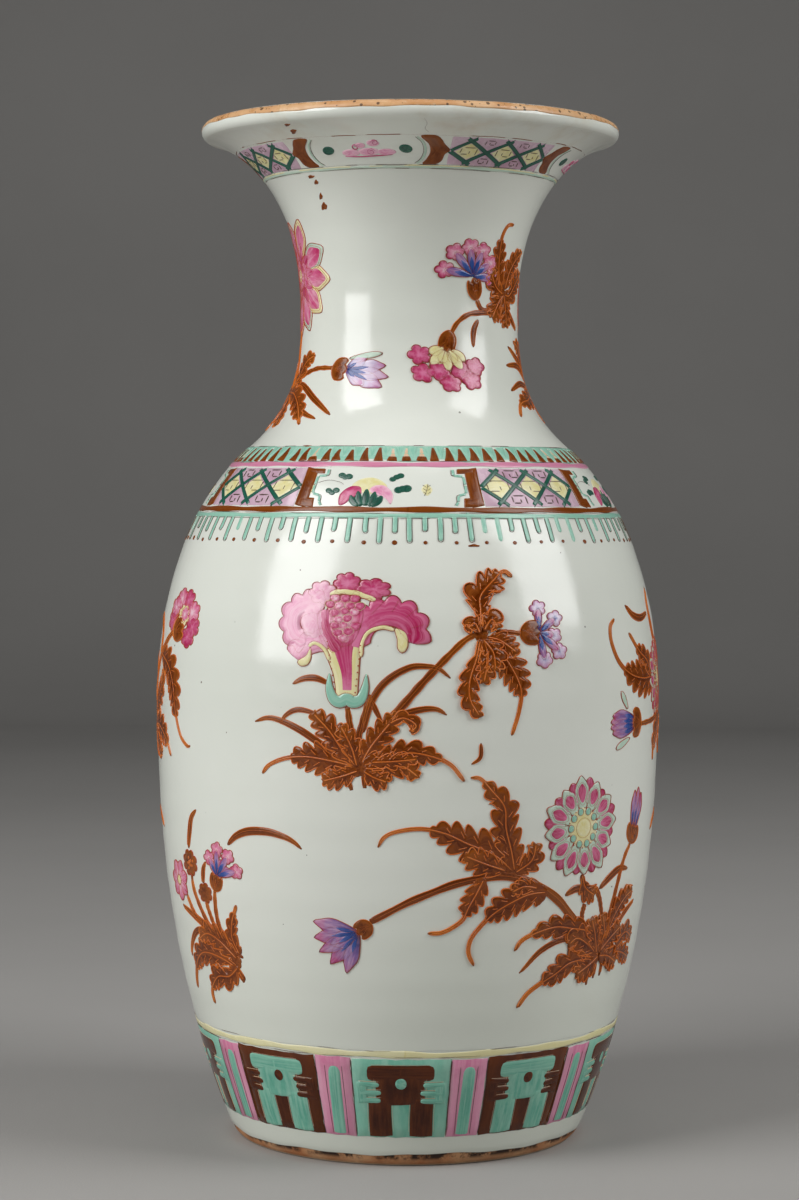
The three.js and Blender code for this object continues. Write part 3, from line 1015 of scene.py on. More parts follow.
def shoulder_band():
    """Four panels of lattice and four cartouches of peaches between a row of teeth and one of drips."""
    top, bottom = 297.2, 281.0
    colours = {
        "brown": BAND_BROWN, "turquoise": TURQUOISE, "pink": BAND_PINK, "fine_lines": DARK_LINE,
        "worn_teeth": PEACH, "lattice_ground": MAUVE, "yellow": YELLOW, "green": GREEN,
        "lattice_bars": BAR_GREEN, "peaches": DEEP_ROSE, "pale_peaches": PALE_ROSE,
    }
    (brown, turquoise, pink, dark, peach, mauve, yellow, green, pale_green, rose,
     pale_rose) = palette("shoulder", colours)
    hoop(turquoise, 306.1, 0.5, 0.2, worn=0.25)
    hoop(dark, 306.5, 0.14, 0.3, LINE, 0.1, worn=0.45)
    hoop(pink, 298.7, 1.35, 0.24)
    hoop(dark, 299.9, 0.12, 0.3, LINE, 0.12, worn=0.55)
    hoop(brown, 279.7, 1.25, 0.26)
    hoop(turquoise, 277.2, 1.05, 0.24)
    hoop(dark, 278.3, 0.12, 0.34, LINE, 0.1, worn=0.35)
    hoop(dark, 276.0, 0.12, 0.34, LINE, 0.1, worn=0.3)
    hoop(turquoise, 303.1, (length_at(306.1) - length_at(300.1)) / 2, 0.1)
    teeth, drips = 82, 96
    for k in range(teeth):
        angle = 3.5 + k * 360 / teeth + wobble(0.25)
        place = Place(angle)
        worn = rng.random() < 0.2
        tall = 305.7 + wobble(0.25)
        foot_half = 2.35 + wobble(0.15)
        body = place.curve([(angle, 299.9), (angle + wobble(0.2), (300 + tall) / 2), (angle, tall)], 14)
        if worn:
            stroke(peach, place, body, lambda t: foot_half * (1 - 0.8 * t), 0.1)
            stroke(brown, place, body[:6], lambda t: foot_half * (1 - 0.82 * t * 0.3) ** 1.4, 0.27)
        else:
            stroke(brown, place, body, lambda t: foot_half * (1 - 0.82 * t), 0.27)
        between = angle + 180 / teeth
        place = Place(between)
        drop = place.curve([(between, 306.3), (between, 303.8), (between, 301.4 + wobble(0.3))], 12)
        stroke(turquoise, place, drop, lambda t: 2.5 * (1 - 0.88 * t), 0.22)
    for k in range(drips):
        angle = -3.6 + k * 360 / drips + wobble(0.12)
        place = Place(angle)
        low = (266.2 if k % 2 else 270.4) + wobble(0.35)
        drip = place.curve([(angle, 277.0), (angle, 272.5), (angle + wobble(0.08), low)], 16)
        stroke(turquoise, place, drip, lambda t: 1.08 * np.clip((1 - t) * 9, 0, 1) ** 0.5, 0.25)
        side = np.array([1.15, 0])
        turn = np.radians(np.linspace(180, 360, 7))
        tip = drip[-1] + [0, 0.9] + 1.15 * heading(turn)
        path = np.concatenate([drip[1:-2] - side, tip, drip[-3:0:-1] + side])
        if rng.random() < 0.85:
            line(dark, place, flowing(path, 34), 0.14, 0.3)
        if k % 2 == 0:
            dot(brown, place, place.spot((angle, 266.4 + wobble(0.3))), 1.0 + wobble(0.1), 0.3, 12, 0.9)
    centres = [(-5.75, 26.2), (78.7, 26.2), (173.0, 26.0), (266.0, 26.2)]
    for k, (centre, half) in enumerate(centres):
        place = Place(centre)
        for side in (-1, 1):

            def at(inward, z):
                """Point inward from the cartouche's end, on this side."""
                return (centre + side * (half - inward), z)

            upright = np.array([at(2.1, bottom - 0.2), at(2.3, 289), at(2.1, top)])
            stroke(brown, place, place.curve(upright, 20), 2.9, 0.3)
            stroke(brown, place, place.straight([at(1.0, 295.9), at(6.6, 295.7)], 12), 1.35, 0.31)
            stroke(brown, place, place.straight([at(1.4, 283.0), at(6.0, 282.6)], 12), 2.3, 0.31)
            inner = [at(7.6, 296.6), at(7.6, 293.9), at(4.9, 293.6), at(4.7, 290), at(4.9, 286.4),
                     at(7.1, 285.6), at(7.4, 283), at(8.2, 281.4)]
            path = place.lay(inner)
            for first, second in zip(path[:-1], path[1:]):
                stroke(turquoise, place, np.linspace(first, second, 6), 0.62, 0.24)
            path = flowing(path + [(-0.75 * side), 0], 40)
            line(dark, place, path, 0.12, 0.26)
        c = centre - 0.25
        flower = [(c - 10, 288.6), (c - 9, 291.6), (c - 5.5, 293.2), (c - 2, 292), (c, 288.6), (c - 5, 286)]
        pad(yellow, place, place.curve(flower, 30, True), None, 0.18)
        peach_left = [(c - 12.8, 281.6), (c - 13, 286), (c - 10.5, 289.3), (c - 7.4, 289.2), (c - 7, 286),
                      (c - 9.5, 284.2), (c - 11.2, 281.8)]
        peach_right = [(c + 1.2, 281.8), (c + 1.7, 286), (c - 0.6, 289.6), (c - 3.6, 289.8), (c - 5.2, 287.6),
                       (c - 3, 285.8), (c - 0.2, 284.2)]
        pad(rose, place, place.curve(peach_left, 36, True), place.spot((c - 10.2, 286.6)), 0.3)
        pad(pale_rose, place, place.curve(peach_right, 36, True), place.spot((c - 1.4, 286.8)), 0.3)
        for lean, reach in ((-4.4, 4.8), (-2.4, 6.6), (0, 7.4), (2.4, 6.4), (4.4, 4.6)):
            blade = place.curve([(c - 5.6 + lean * 0.35, 281.2), (c - 5.6 + lean * 0.8, 283.5),
                                 (c - 5.6 + lean, 281 + reach)], 16)
            stroke(green, place, blade, lambda t: 1.75 * np.sin(np.pi * np.clip(t * 0.85 + 0.12, 0,
                    1)) ** 0.8, 0.36)
            line(dark, place, blade, 0.12, 0.44)
        for spot, reach in (((c - 12.6, 293.4), 1.9), ((c - 15.4, 287), 1.8), ((c + 2.4, 293.5), 1.7),
                            ((c + 4.2, 287.6), 2.5)):
            for lean in (-1, 0, 1):
                seed = place.spot((spot[0] + lean * 1.1, spot[1] + wobble(0.5)))
                dot(green, place, seed, reach * (0.8 + 0.2 * rng.random()), 0.3, 12, 0.85)
        for spot in ((c - 22.3, 288.3), (c + 10.8, 288.0)):
            stem = place.lay([(spot[0] - 0.8, spot[1] - 2.6), spot, (spot[0] + 0.4, spot[1] + 2.6)])
            line(dark, place, flowing(stem, 14), 0.16, 0.26)
            pad(yellow, place, place.curve([(spot[0] - 1.6, spot[1]), (spot[0], spot[1] + 2.6),
                                            (spot[0] + 1.6, spot[1]), (spot[0], spot[1] - 2.6)], 20, True),
                                            None, 0.08)
            for rung in (-1.4, 0, 1.4):
                for side in (-1, 1):
                    ends = place.lay([(spot[0], spot[1] + rung - 0.5), (spot[0] + 1.2 * side,
                            spot[1] + rung + 0.7)])
                    line(dark, place, np.linspace(*ends, 6), 0.14, 0.26)
        arch = place.lay([(c - 20.6, 290.8), (c - 17.5, 291.9), (c - 14, 291.2), (c - 12.4, 290)])
        line(dark, place, flowing(arch, 24), 0.13, 0.2)
    edges = [(c + h, centres[(k + 1) % 4][0] - centres[(k + 1) % 4][1]) for k, (c, h) in enumerate(centres)]
    for low_angle, high_angle in edges:
        if high_angle < low_angle:
            high_angle += 360
        enamels = (mauve, yellow, green, pale_green, dark)
        lattice(enamels, low_angle - 0.3, high_angle + 0.3, bottom, top, 12.6, 1.35)


def foot_band():
    """Ten upright panels with stepped figures, alternately brown and turquoise, and bars between them."""
    low, high = 13.8, 49.6
    # painted shade: the foot band uses darker copies of the brown and turquoise enamels used higher up
    colours = {
        "brown": SHADED_FOOT_BROWN, "turquoise": SHADED_FOOT_TURQUOISE, "pink": BAND_PINK, "yellow_line": YELLOW,
        "fine_lines": DARK_LINE, "bare_edges": PEACH,
    }
    brown, turquoise, pink, yellow, dark, edging = palette("foot", colours)
    hoop(yellow, 51.6, 1.5, 0.16, sway=0.35)
    hoop(dark, 50.2, 0.14, 0.28, LINE, 0.25, worn=0.5)
    hoop(dark, 53.4, 0.1, 0.2, LINE, 0.3, worn=0.7)
    panels = 10
    for k in range(panels):
        centre = -1.5 + 360 / panels * k
        place = Place(centre)
        ground, figure = (turquoise, brown) if k % 2 == 0 else (brown, turquoise)
        panel(ground, centre - 13.0, centre + 13.0, low, high + wobble(0.3), 0.2, 0.25)

        def post(enamel, x, bottom, top, half, crown=0.34, rounded=0.12, rows=18):
            """An upright bar of the figure, a little bent, with bare edges where it lies on the ground."""
            path = flowing(place.lay([(centre + x, bottom), (centre + x + wobble(0.15), (bottom + top) / 2),
                                      (centre + x, top)]), rows)
            edges = stroke(enamel, place, path, blunt(half, rounded, 0.02, 0.45, True), crown)
            for edge in edges if enamel is figure else ():
                line(edging, place, edge[2:-2], 0.2, 0.3)

        head = place.straight([(centre - 9.6, 43.2), (centre + 9.4, 43.4)], 20)
        edges = stroke(figure, place, head, blunt(3.9, 0.08, 0.05, both=True), 0.34)
        line(edging, place, edges[1][1:-1], 0.2, 0.3)
        post(figure, 0, 28.2, 46.0, 11.0, 0.345, 0.1)
        for side in (-1, 1):
            post(figure, side * 5.8, low - 0.2, 32.5, 5.2, 0.335, 0.05)
            for z in (30.8, 34.4, 37.9):
                reach = 5.4 + wobble(0.3)
                finger = place.straight([(centre + side * 11.8, z + wobble(0.3)), (centre + side * reach, z)],
                                        12)
                stroke(ground, place, finger, blunt(1.3, 0.2), 0.46)
                line(edging, place, finger + [0, 1.5], 0.16, 0.4)
            back = place.straight([(centre + side * 10.6, 28.8), (centre + side * 10.6, 39.8)], 10)
            stroke(ground, place, back, 2.5, 0.45)
        eye = place.spot((centre + wobble(0.4), 38.6))
        dot(ground, place, eye, 2.5, 0.45, 20, 1.12)
        side_bar = centre + 180 / panels
        place = Place(side_bar)
        panel(pink, side_bar - 4.9, side_bar + 4.9, low, high + wobble(0.3), 0.2, 0.25)
        strip = place.curve([(side_bar - 0.2, low + 0.1), (side_bar, 30), (side_bar + 0.2, 46.4)], 24)
        stroke(turquoise, place, strip, blunt(2.9, 0.1), 0.33)
        for x in (-4.9, -2.35, 2.35, 4.9):
            path = place.lay([(side_bar + x, low), (side_bar + x + wobble(0.15), 30), (side_bar + x,
                    high - (3 if abs(x) < 3 else 0))])
            line(dark, place, flowing(path, 24), 0.26, 0.36)


def mouth_band():
    """Four cartouches with a pink cloud scroll, and lattice between them, under the lip."""
    low, high = 426.6, 437.4
    colours = {
        "brown": BAND_BROWN, "pale_green": CELADON, "lattice_ground": MAUVE, "yellow": YELLOW,
        "green": GREEN, "lattice_bars": BAR_GREEN, "fine_lines": DARK_LINE, "scroll": PALE_ROSE,
        "scroll_lines": DEEP_ROSE,
    }
    brown, celadon, mauve, yellow, green, pale_green, dark, rose, maroon = palette("mouth", colours)
    hoop(celadon, 425.6, 0.65, 0.16)
    hoop(yellow, 426.1, 0.3, 0.18, worn=0.4)
    hoop(dark, 425.0, 0.13, 0.26, LINE, 0.1, worn=0.4)
    hoop(dark, 426.6, 0.12, 0.26, LINE, 0.1, worn=0.45)
    hoop(brown, 437.9, 0.28, 0.14, ROUND_LINE, 0.25, worn=0.5)
    centres = [-16.0, 84.0, 164.0, 244.0]
    for centre in centres:
        place = Place(centre)
        for side in (-1, 1):

            def at(inward, z):
                """Point inward from the cartouche's end, on this side."""
                return (centre + side * (30 - inward), z)

            edge = [at(11, 437.5), at(6, 437.7), at(3.6, 436), at(2.6, 434.6), at(0.2, 432.3), at(1.8, 430.6),
                    at(2.6, 428), at(5, 426.5), at(9.8, 426.6), at(8.4, 428.6), at(7.3, 431.5),
                    at(8.2, 434.6)]
            pad(brown, place, place.curve(edge, 48, True), place.spot(at(4.8, 432)), 0.3)
            inner = [at(12.2, 437.2), at(9.8, 435.0), at(8.8, 431.8), at(9.9, 428.6), at(12, 426.9)]
            stroke(celadon, place, place.curve(inner, 24), 0.5, 0.18)
            line(dark, place, flowing(place.lay(inner) - [side * 0.9, 0], 24), 0.13, 0.24)
            dot(green, place, place.spot((centre + side * 13.9 + 0.4, 432.6)), 2.9, 0.32, 18, 0.82)
        for x, z, wide, tall in ((-5.2, 431.4, 4.2, 1.9), (1.4, 431.6, 4.8, 2.1), (7.6, 431.4, 4.2, 1.7),
                                 (3.4, 434.8, 2.8, 1.9), (-1.2, 434.0, 2.4, 1.6)):
            spot = place.spot((centre + x, z))
            turn = all_round(22)
            pad(rose, place, spot + heading(turn) * [wide, tall], spot, 0.26)
        for x, z, size, turn in ((2.2, 431.6, 1.9, 1), (4, 435, 1.6, -1), (-3, 433.4, 1.7, 1)):
            spin = np.linspace(0, 1.35 * 2 * np.pi, 26)
            radius = size * (1 - spin / 14)
            curl = place.spot((centre + x, z)) + np.stack([turn * radius * np.cos(spin),
                    radius * np.sin(spin)], 1)
            line(maroon, place, curl, 0.36, 0.42)
        base = place.curve([(centre - 8, 430.2), (centre - 3, 429.8), (centre + 3, 429.9), (centre + 10,
                430.4)], 26)
        line(maroon, place, base, 0.4, 0.42)
    for k, centre in enumerate(centres):
        low_angle, high_angle = centre + 29.4, centres[(k + 1) % 4] - 29.4
        if high_angle < low_angle:
            high_angle += 360
        lattice((mauve, yellow, green, pale_green, dark), low_angle, high_angle, low, high, 13.5, 1.3)


# ---- Sprays ----
class Spray:
    """One painted spray: a place on the wall, the enamels that its parts are painted in, and the
    level that its leaves have been laid up to."""

    PARTS = {
        "leaves": ("leaves", BROWN),
        "veins": ("leaf_lines", LEAF_LINE),
        "rose": ("rose_petals", ROSE),
        "deep": ("deep_rose_petals", DEEP_ROSE),
        "pale": ("pale_petals", PALE_ROSE),
        "bell": ("blue_petals", BLUEBELL),
        "lilac": ("lilac_petals", LILAC),
        "blue": ("deep_blue_streaks", DEEP_BLUE),
        "yellow": ("yellow_parts", YELLOW),
        "turquoise": ("turquoise_parts", TURQUOISE),
        "sepals": ("pale_green_sepals", CELADON),
        "lines": ("petal_lines", PETAL_LINE),
    }

    def __init__(self, name, place):
        self.place, self.level = place, 0
        for part, (ending, finish) in self.PARTS.items():
            setattr(self, part, Enamel(name + "_" + ending, finish))

    def spot(self, point):
        """One point, laid flat."""
        return self.place.spot(point)

    def flat(self, points, count=0, closed=False):
        """Points laid flat, and drawn through as a smooth curve when a count is given."""
        points = self.place.lay(points)
        return flowing(points, count, closed) if count else points

    def leaf(self, points, half, lobes, start=0.1, stop=1.0, stalk=0.9):
        """A brown lobed leaf along a bent stalk, its lobes leaning forward: half width = stalk that
        thins + swell of the leaf * a scallop of the lobes. Lined round and veined in orange brown.
        Each leaf is laid on a little higher than the one before, so it covers that one's lines."""
        path = self.flat(points, 22 + 10 * lobes)
        shift, start = rng.random() * 0.4, start - 0.1

        def width(t):
            u = np.clip((t - start) / (stop - start), 0, 1)
            swell = np.clip(np.sin(np.pi * u**0.8), 0, 1) ** 0.6
            sides = [
                swell * half * (0.34 + 0.66 * np.abs(np.sin(np.pi * (lobes * u + turn))) ** 0.7)
                for turn in (shift, shift + 0.45)
            ]
            thin = stalk * (1 - 0.35 * t) * np.clip((1 - t) * 14 + 0.2, 0, 1) ** 0.5
            return np.stack(sides, 1) + thin[:, None]

        self.level = self.level % 16 + 1
        crown = 0.22 + 0.055 * self.level
        edges = stroke(self.leaves, self.place, path, width, crown, FILL, 0.75)
        for edge in edges:
            line(self.veins, self.place, edge[1:-1], 0.28, crown + 0.04, False, BOLD_LINE)
        line(self.veins, self.place, path[2:-2], 0.34, crown + 0.05, False, BOLD_LINE)
        rows = len(path)
        for k in range(lobes):
            for edge, turn in zip(edges, (shift, shift + 0.45)):
                u = (k + 0.5 - turn) / lobes
                at = int((start + np.clip(u, 0, 1) * (stop - start)) * (rows - 1))
                if 0.12 < u < 0.95 and at > 5:
                    tip = path[at] + 0.74 * (edge[at] - path[at])
                    line(self.veins, self.place, np.linspace(path[at - 4], tip, 4), 0.22, crown + 0.045,
                         False, BOLD_LINE)

    def blade(self, points, half=1.0, count=26):
        """A slender brown blade, fullest a third of the way along, with a pale line up one side."""
        path = self.flat(points, count)
        edges = stroke(
            self.leaves, self.place, path, lambda t: half * (0.25 + np.sin(np.pi * t**0.8) ** 0.7), 0.26
        )
        for edge in (edges[0], edges[1], 0.4 * edges[0] + 0.6 * edges[1]):
            line(self.veins, self.place, edge[1:-1], 0.24, 0.4)

    def stem(self, points, half=1.2, tip=None, count=26):
        """A stem that goes from one half width to another, with joints: a small wave of the width."""
        tip = 0.7 * half if tip is None else tip
        path = self.flat(points, count)
        edges = stroke(
            self.leaves, self.place, path, lambda t: half + (tip - half) * t + 0.12 * np.sin(40 * t), 0.27
        )
        for edge in edges:
            line(self.veins, self.place, edge[1:-1], 0.26, 0.4)
        line(self.veins, self.place, path[1:-1] + [0.2, 0.2], 0.3, 0.41)

    def roots(self, pairs):
        """Short straight stems below a tuft."""
        for base, tip in pairs:
            self.stem([base, tip], 1.1, 0.7, 8)

    def outline(self, edge, crown):
        """A fine iron red line round a petal's edge, a little proud of it."""
        line(self.lines, self.place, edge, 0.17, crown + 0.1, True)

    def patch(self, enamel, points, crown=0.3, grain=None, count=40, outlined=True, centre=None):
        """A patch of enamel inside a smooth edge, outlined in iron red."""
        edge = self.flat(points, count, True)
        heart = None if centre is None else self.spot(centre)
        run = None if grain is None else self.flat(grain)
        edge = pad(enamel, self.place, edge, heart, uneven(crown), run)
        if outlined:
            self.outline(edge, crown)
        return edge

    def petal(self, enamel, base, tip, half, crown=0.3, pointed=0.0, bend=0.0, outlined=True):
        """A petal from base to tip in flat millimetres, widest two thirds of the way out."""
        base, tip = np.asarray(base, float), np.asarray(tip, float)
        along = tip - base
        aside = np.array([-along[1], along[0]]) / np.linalg.norm(along)
        shares = np.array([0.0, 0.3, 0.62, 0.86, 1.0])
        widths = half * np.array([0.3, 0.8, 1.0, 0.72 - 0.25 * pointed, 0.0])
        spine = base + along * shares[:, None] + aside * (bend * np.sin(np.pi * shares / 2))[:, None]
        edge = np.vstack([spine + aside * widths[:, None], (spine - aside * widths[:, None])[-2::-1]])
        edge = flowing(edge, 30, True)
        edge = pad(enamel, self.place, edge, spine[2], uneven(crown), (base, tip))
        if outlined:
            self.outline(edge, crown)

    def frill(self, enamel, points, half, lobes, crown=0.3, inner=0.75, bite=0.42):
        """A thick ruffle along a bent spine: round scallops on its left side, smooth on its right."""
        path = self.flat(points, 12 * lobes + 6)

        def width(t):
            end = np.clip(np.minimum(t, 1 - t) / 0.07, 0.05, 1) ** 0.5
            wave = 1 - bite + bite * np.abs(np.sin(np.pi * lobes * t)) ** 0.75
            return np.stack([half * inner * end, half * wave * end], 1)

        edges = stroke(enamel, self.place, path, width, uneven(crown))
        for edge in edges:
            line(self.lines, self.place, edge, 0.18, crown + 0.1)
        return path, edges

    def ruffle(self, enamel, centre, wide, tall, scallops=9, crown=0.3, turn=0.0, bite=0.22, outlined=True):
        """A scalloped round patch: radius = ellipse * (1 - bite + bite * a rounded wave)."""
        heart = self.spot(centre)
        a = all_round(7 * scallops)
        r = 1 - bite + bite * np.abs(np.sin(scallops * a / 2 + turn)) ** 0.7
        edge = heart + heading(a) * r[:, None] * [wide, tall]
        edge = pad(enamel, self.place, edge, heart, uneven(crown))
        if outlined:
            self.outline(edge, crown)
        return heart

    def calyx(self, base, tip, half, crown=0.33):
        """A brown cup with lobes at its mouth, from base to tip."""
        base, tip = self.flat([base, tip])
        along = tip - base
        aside = np.array([-along[1], along[0]])
        aside = aside / np.linalg.norm(aside) * half
        edge = [(0, 0.35), (0.3, 0.95), (0.75, 1.05), (1.0, 0.8), (0.86, 0.45), (1.05, 0.1), (1.05, -0.1),
                (0.86, -0.45), (1.0, -0.8), (0.75, -1.05), (0.3, -0.95), (0, -0.35)]
        edge = np.array([base + along * a + aside * b for a, b in edge])
        edge = pad(self.leaves, self.place, flowing(edge, 44, True), (base + tip) / 2, crown)
        line(self.veins, self.place, edge, 0.22, crown + 0.1, True)
        for b in (-0.5, 0, 0.5):
            ends = np.linspace(base + along * 0.1, base + along * 0.85 + aside * b, 7)
            line(self.veins, self.place, ends, 0.2, crown + 0.1)

    def bud(self, base, tip, half, cup=0.42, petals=3):
        """A closed bud: blue to pink petals side by side, held by a brown cup."""
        start, end = self.flat([base, tip])
        along = end - start
        aside = np.array([-along[1], along[0]]) / np.linalg.norm(along) * half
        for k in range(petals):
            b = (k - (petals - 1) / 2) / max(petals - 1, 1) * 1.25
            reach = 1 - 0.12 * abs(b)
            low = start + along * 0.3 + aside * b * 0.6
            self.petal(self.bell, low, start + along * reach + aside * b, half * 0.5, 0.3, 0.8)
            self.petal(self.blue, low, start + along * reach * 0.66 + aside * b, half * 0.2, 0.37, 1.0, 0,
                       False)
        where = np.array(base, float)
        self.calyx(base, tuple(where + (np.array(tip) - where) * cup), half * 1.02)

    def bells(self, base, tips, half, cup, cup_half, enamel=None):
        """An open flower of blue to pink petals spread from a cup; cup is the calyx's tip."""
        start = self.spot(base)
        mouth = self.spot(cup)
        for k, tip in enumerate(tips):
            end = self.spot(tip)
            root = mouth + (end - mouth) * 0.02
            self.petal(enamel or self.bell, root, end, half * (1 + 0.15 * (k % 2)), 0.29 + 0.012 * (k % 3),
                       1.0)
            streak = root + (end - root) * (0.62 if k % 2 else 0.5)
            self.petal(self.blue, root, streak, half * 0.3, 0.36 + 0.012 * (k % 3), 1.0, 0, False)
        self.calyx(base, cup, cup_half)

    def aster(self, centre, radius, petals=12):
        """A chrysanthemum: pointed petals with pale borders round deep hearts, small deep petals
        between them, and a yellow eye ringed with turquoise beads."""
        heart = self.spot(centre)
        ways = [(k, turn) for k in range(petals) for turn in (0.5, 0.0)]
        for k, shift in sorted(ways, key=lambda way: -way[1]):
            turn = 2 * np.pi * (k + shift) / petals + 0.1
            way = heading(turn)
            far = radius * (1 + 0.05 * np.sin(5 * turn))
            if shift:
                self.petal(self.deep, heart + way * radius * 0.5, heart + way * far * 0.97, radius * 0.13,
                           0.28)
                continue
            self.petal(self.sepals, heart + way * radius * 0.34, heart + way * far, radius * 0.215, 0.32, 1.0)
            middle = heart + way * radius * 0.47
            self.petal(self.deep, middle, heart + way * (far - radius * 0.13), radius * 0.135, 0.37, 0.6)
        turn = all_round(48)
        ring = heading(turn)
        ring = heart + ring * radius * (0.42 + 0.035 * np.sin(12 * turn))[:, None]
        pad(self.yellow, self.place, ring, heart, 0.41)
        for k in range(10):
            a = 2 * np.pi * k / 10
            way = radius * heading(a)
            edge = dot(self.turquoise, self.place, heart + 0.335 * way, radius * 0.078, 0.54, 14)
            line(self.lines, self.place, edge, 0.12, 0.6, True)
            dot(self.lines, self.place, heart + 0.4 * np.array([way[1], way[0]]) + 0.01 * way, 0.34, 0.5, 6)
        edge = dot(self.yellow, self.place, heart, radius * 0.2, 0.48, 20)
        line(self.lines, self.place, edge, 0.17, 0.56, True)

    def carnation(self, mouth, tips, size, enamel, throat=None):
        """A ragged open flower: a scalloped patch at each tip and a pointed petal from the mouth."""
        mouth = self.spot(mouth)
        for k, tip in enumerate(tips):
            spot = self.ruffle(enamel, tip, size, size * 0.86, 5, 0.3 + 0.012 * (k % 3), 1.3 * k, 0.3)
            end = spot if throat is None else mouth + (spot - mouth) * 0.66
            self.petal(throat or self.bell, mouth + (spot - mouth) * 0.1, end, size * 0.42,
                       0.37 + 0.012 * (k % 2))
            if throat is None:
                streak = mouth + (spot - mouth) * 0.72
                self.petal(self.blue, mouth, streak, size * 0.27, 0.43 + 0.012 * (k % 2), 1.0, 0, False)

    def cluster(self, spot, size=2.6):
        """The knot that a tuft's leaves spring from."""
        self.ruffle(self.leaves, spot, size, size * 0.9, 5, 0.3, 0.5, 0.2, False)


def cockscomb(s):
    """A cockscomb flower: a pale-edged trunk that opens into ruffled deep and pale pink combs."""
    trunk = s.flat([(-13.1, 201), (-13.3, 212), (-14, 221), (-14.2, 230)], 26)
    edges = stroke(s.yellow, s.place, trunk, lambda t: 4.7 + 7.0 * t**2.2, 0.27)
    for edge in edges:
        line(s.lines, s.place, edge, 0.2, 0.36)
    core = s.flat([(-13, 204.4), (-13.2, 213), (-14, 222), (-14.2, 230)], 20)
    stroke(s.deep, s.place, core, lambda t: 2.6 + 6.6 * t**2.2, 0.32)
    s.frill(s.pale, [(-25.4, 218.6), (-24, 222.6), (-20.4, 225.5), (-17.4, 226)], 4.8, 3, 0.29, 1.0)
    s.frill(s.pale, [(-22.4, 225), (-25.4, 227), (-26.8, 232.6), (-26, 238.4), (-22.4, 241.6), (-18.6, 241)],
            5.4, 7, 0.305, 0.9)
    s.ruffle(s.pale, (-21, 233.4), 6.6, 8.4, 7, 0.33, 0.4, 0.12, False)
    s.frill(s.deep, [(-18.6, 238.5), (-18.4, 232), (-16.8, 226.5), (-15, 221.5)], 3.0, 4, 0.34, 1.0, 0.25)
    s.patch(s.yellow, [(-21.4, 223), (-22.4, 219.4), (-24.4, 217), (-23.6, 215), (-22, 215.6),
                       (-21.2, 218.6)], 0.36, None, 24)
    s.ruffle(s.pale, (-19.6, 245.4), 6.4, 5.2, 7, 0.31)
    s.ruffle(s.deep, (-14, 249.2), 6.2, 5.0, 7, 0.31)
    s.ruffle(s.deep, (-8, 247), 7.8, 4.8, 7, 0.32)
    s.frill(s.yellow, [(-18, 244.6), (-15, 246), (-11, 245), (-7.2, 242.6)], 1.3, 4, 0.34, 1, 0.15)
    s.frill(s.deep, [(-11.6, 223), (-11, 229.6), (-9.2, 234.6), (-5.8, 237.6), (-2.4, 237.6), (0.3, 234.6),
                     (1.5, 229.5), (0.9, 224.8)], 6.9, 8, 0.31, 0.9)
    for rim in ([(-10.2, 219), (-10, 225), (-8.6, 229.6), (-5.6, 231.5), (-2.9, 230.4)], [(-17, 217.6),
            (-18.4, 222.4), (-20.6, 224.6), (-22, 223)]):
        s.frill(s.yellow, rim, 0.9, 3, 0.37, 1.0, 0.1)
    for spine in ([(-8.6, 236), (-6, 241), (-5.4, 243)], [(-4, 237), (-2.6, 241), (-2.4, 243)],
                  [(-1, 235), (1, 238), (2, 240)], [(0, 231), (2, 232), (3.6, 233)]):
        line(s.lines, s.place, s.flat(spine, 8), 0.18, 0.42)
    s.patch(s.yellow, [(-3.0, 231.2), (-2.5, 226.6), (-2.4, 223), (-1.5, 221), (-0.5, 222.2), (-0.1, 225),
                       (-0.6, 229.4)], 0.35, None, 28)
    cone = [(-17.8, 232), (-16.6, 226), (-14.3, 223.4), (-12, 225.5), (-10.6, 231), (-10, 237), (-11, 242.5),
            (-14, 244.5), (-17.5, 242.6), (-18.3, 238)]
    s.patch(s.rose, cone, 0.36, None, 60, True, (-14.2, 233))
    for row, count in enumerate((1, 2, 3, 2, 3, 4, 3)):
        for k in range(count):
            x, z = -14.2 + (k - (count - 1) / 2) * 2.25 + wobble(0.18), 226.4 + 2.75 * row + wobble(0.3)
            spot = s.spot((x, z))
            turn = all_round(14)
            edge = spot + np.stack([2.4 * np.cos(turn), 1.75 * np.sin(turn) + 0.5 * np.abs(np.cos(turn))], 1)
            edge = pad(s.deep if (k + row) % 3 else s.rose, s.place, edge, spot, uneven(0.42),
                       tone=rng.random())
            line(s.yellow if row % 2 else s.lines, s.place, edge, 0.16, 0.52, True)
    cup = s.flat([(-17, 212.4), (-16.9, 206.4), (-16, 202), (-14.6, 200.7), (-13.1, 201.9), (-11.6, 200.7),
                  (-10.1, 202), (-9.2, 206.4), (-8.9, 212.4)], 56)
    edges = stroke(s.turquoise, s.place, cup, lambda t: 0.2 + 2.5 * np.sin(np.pi * t) ** 0.75, 0.4)
    for edge in edges:
        line(s.lines, s.place, edge, 0.18, 0.44)
    for k in range(16):
        t = (k + 0.5) / 16
        side = -1 if k % 2 else 1
        z = 204 + 22 * t
        spot = s.spot((-13.4 - 0.6 * t + side * (2.1 + 1.7 * t), z))
        dot(s.lines, s.place, spot, 0.36, 0.4, 6)


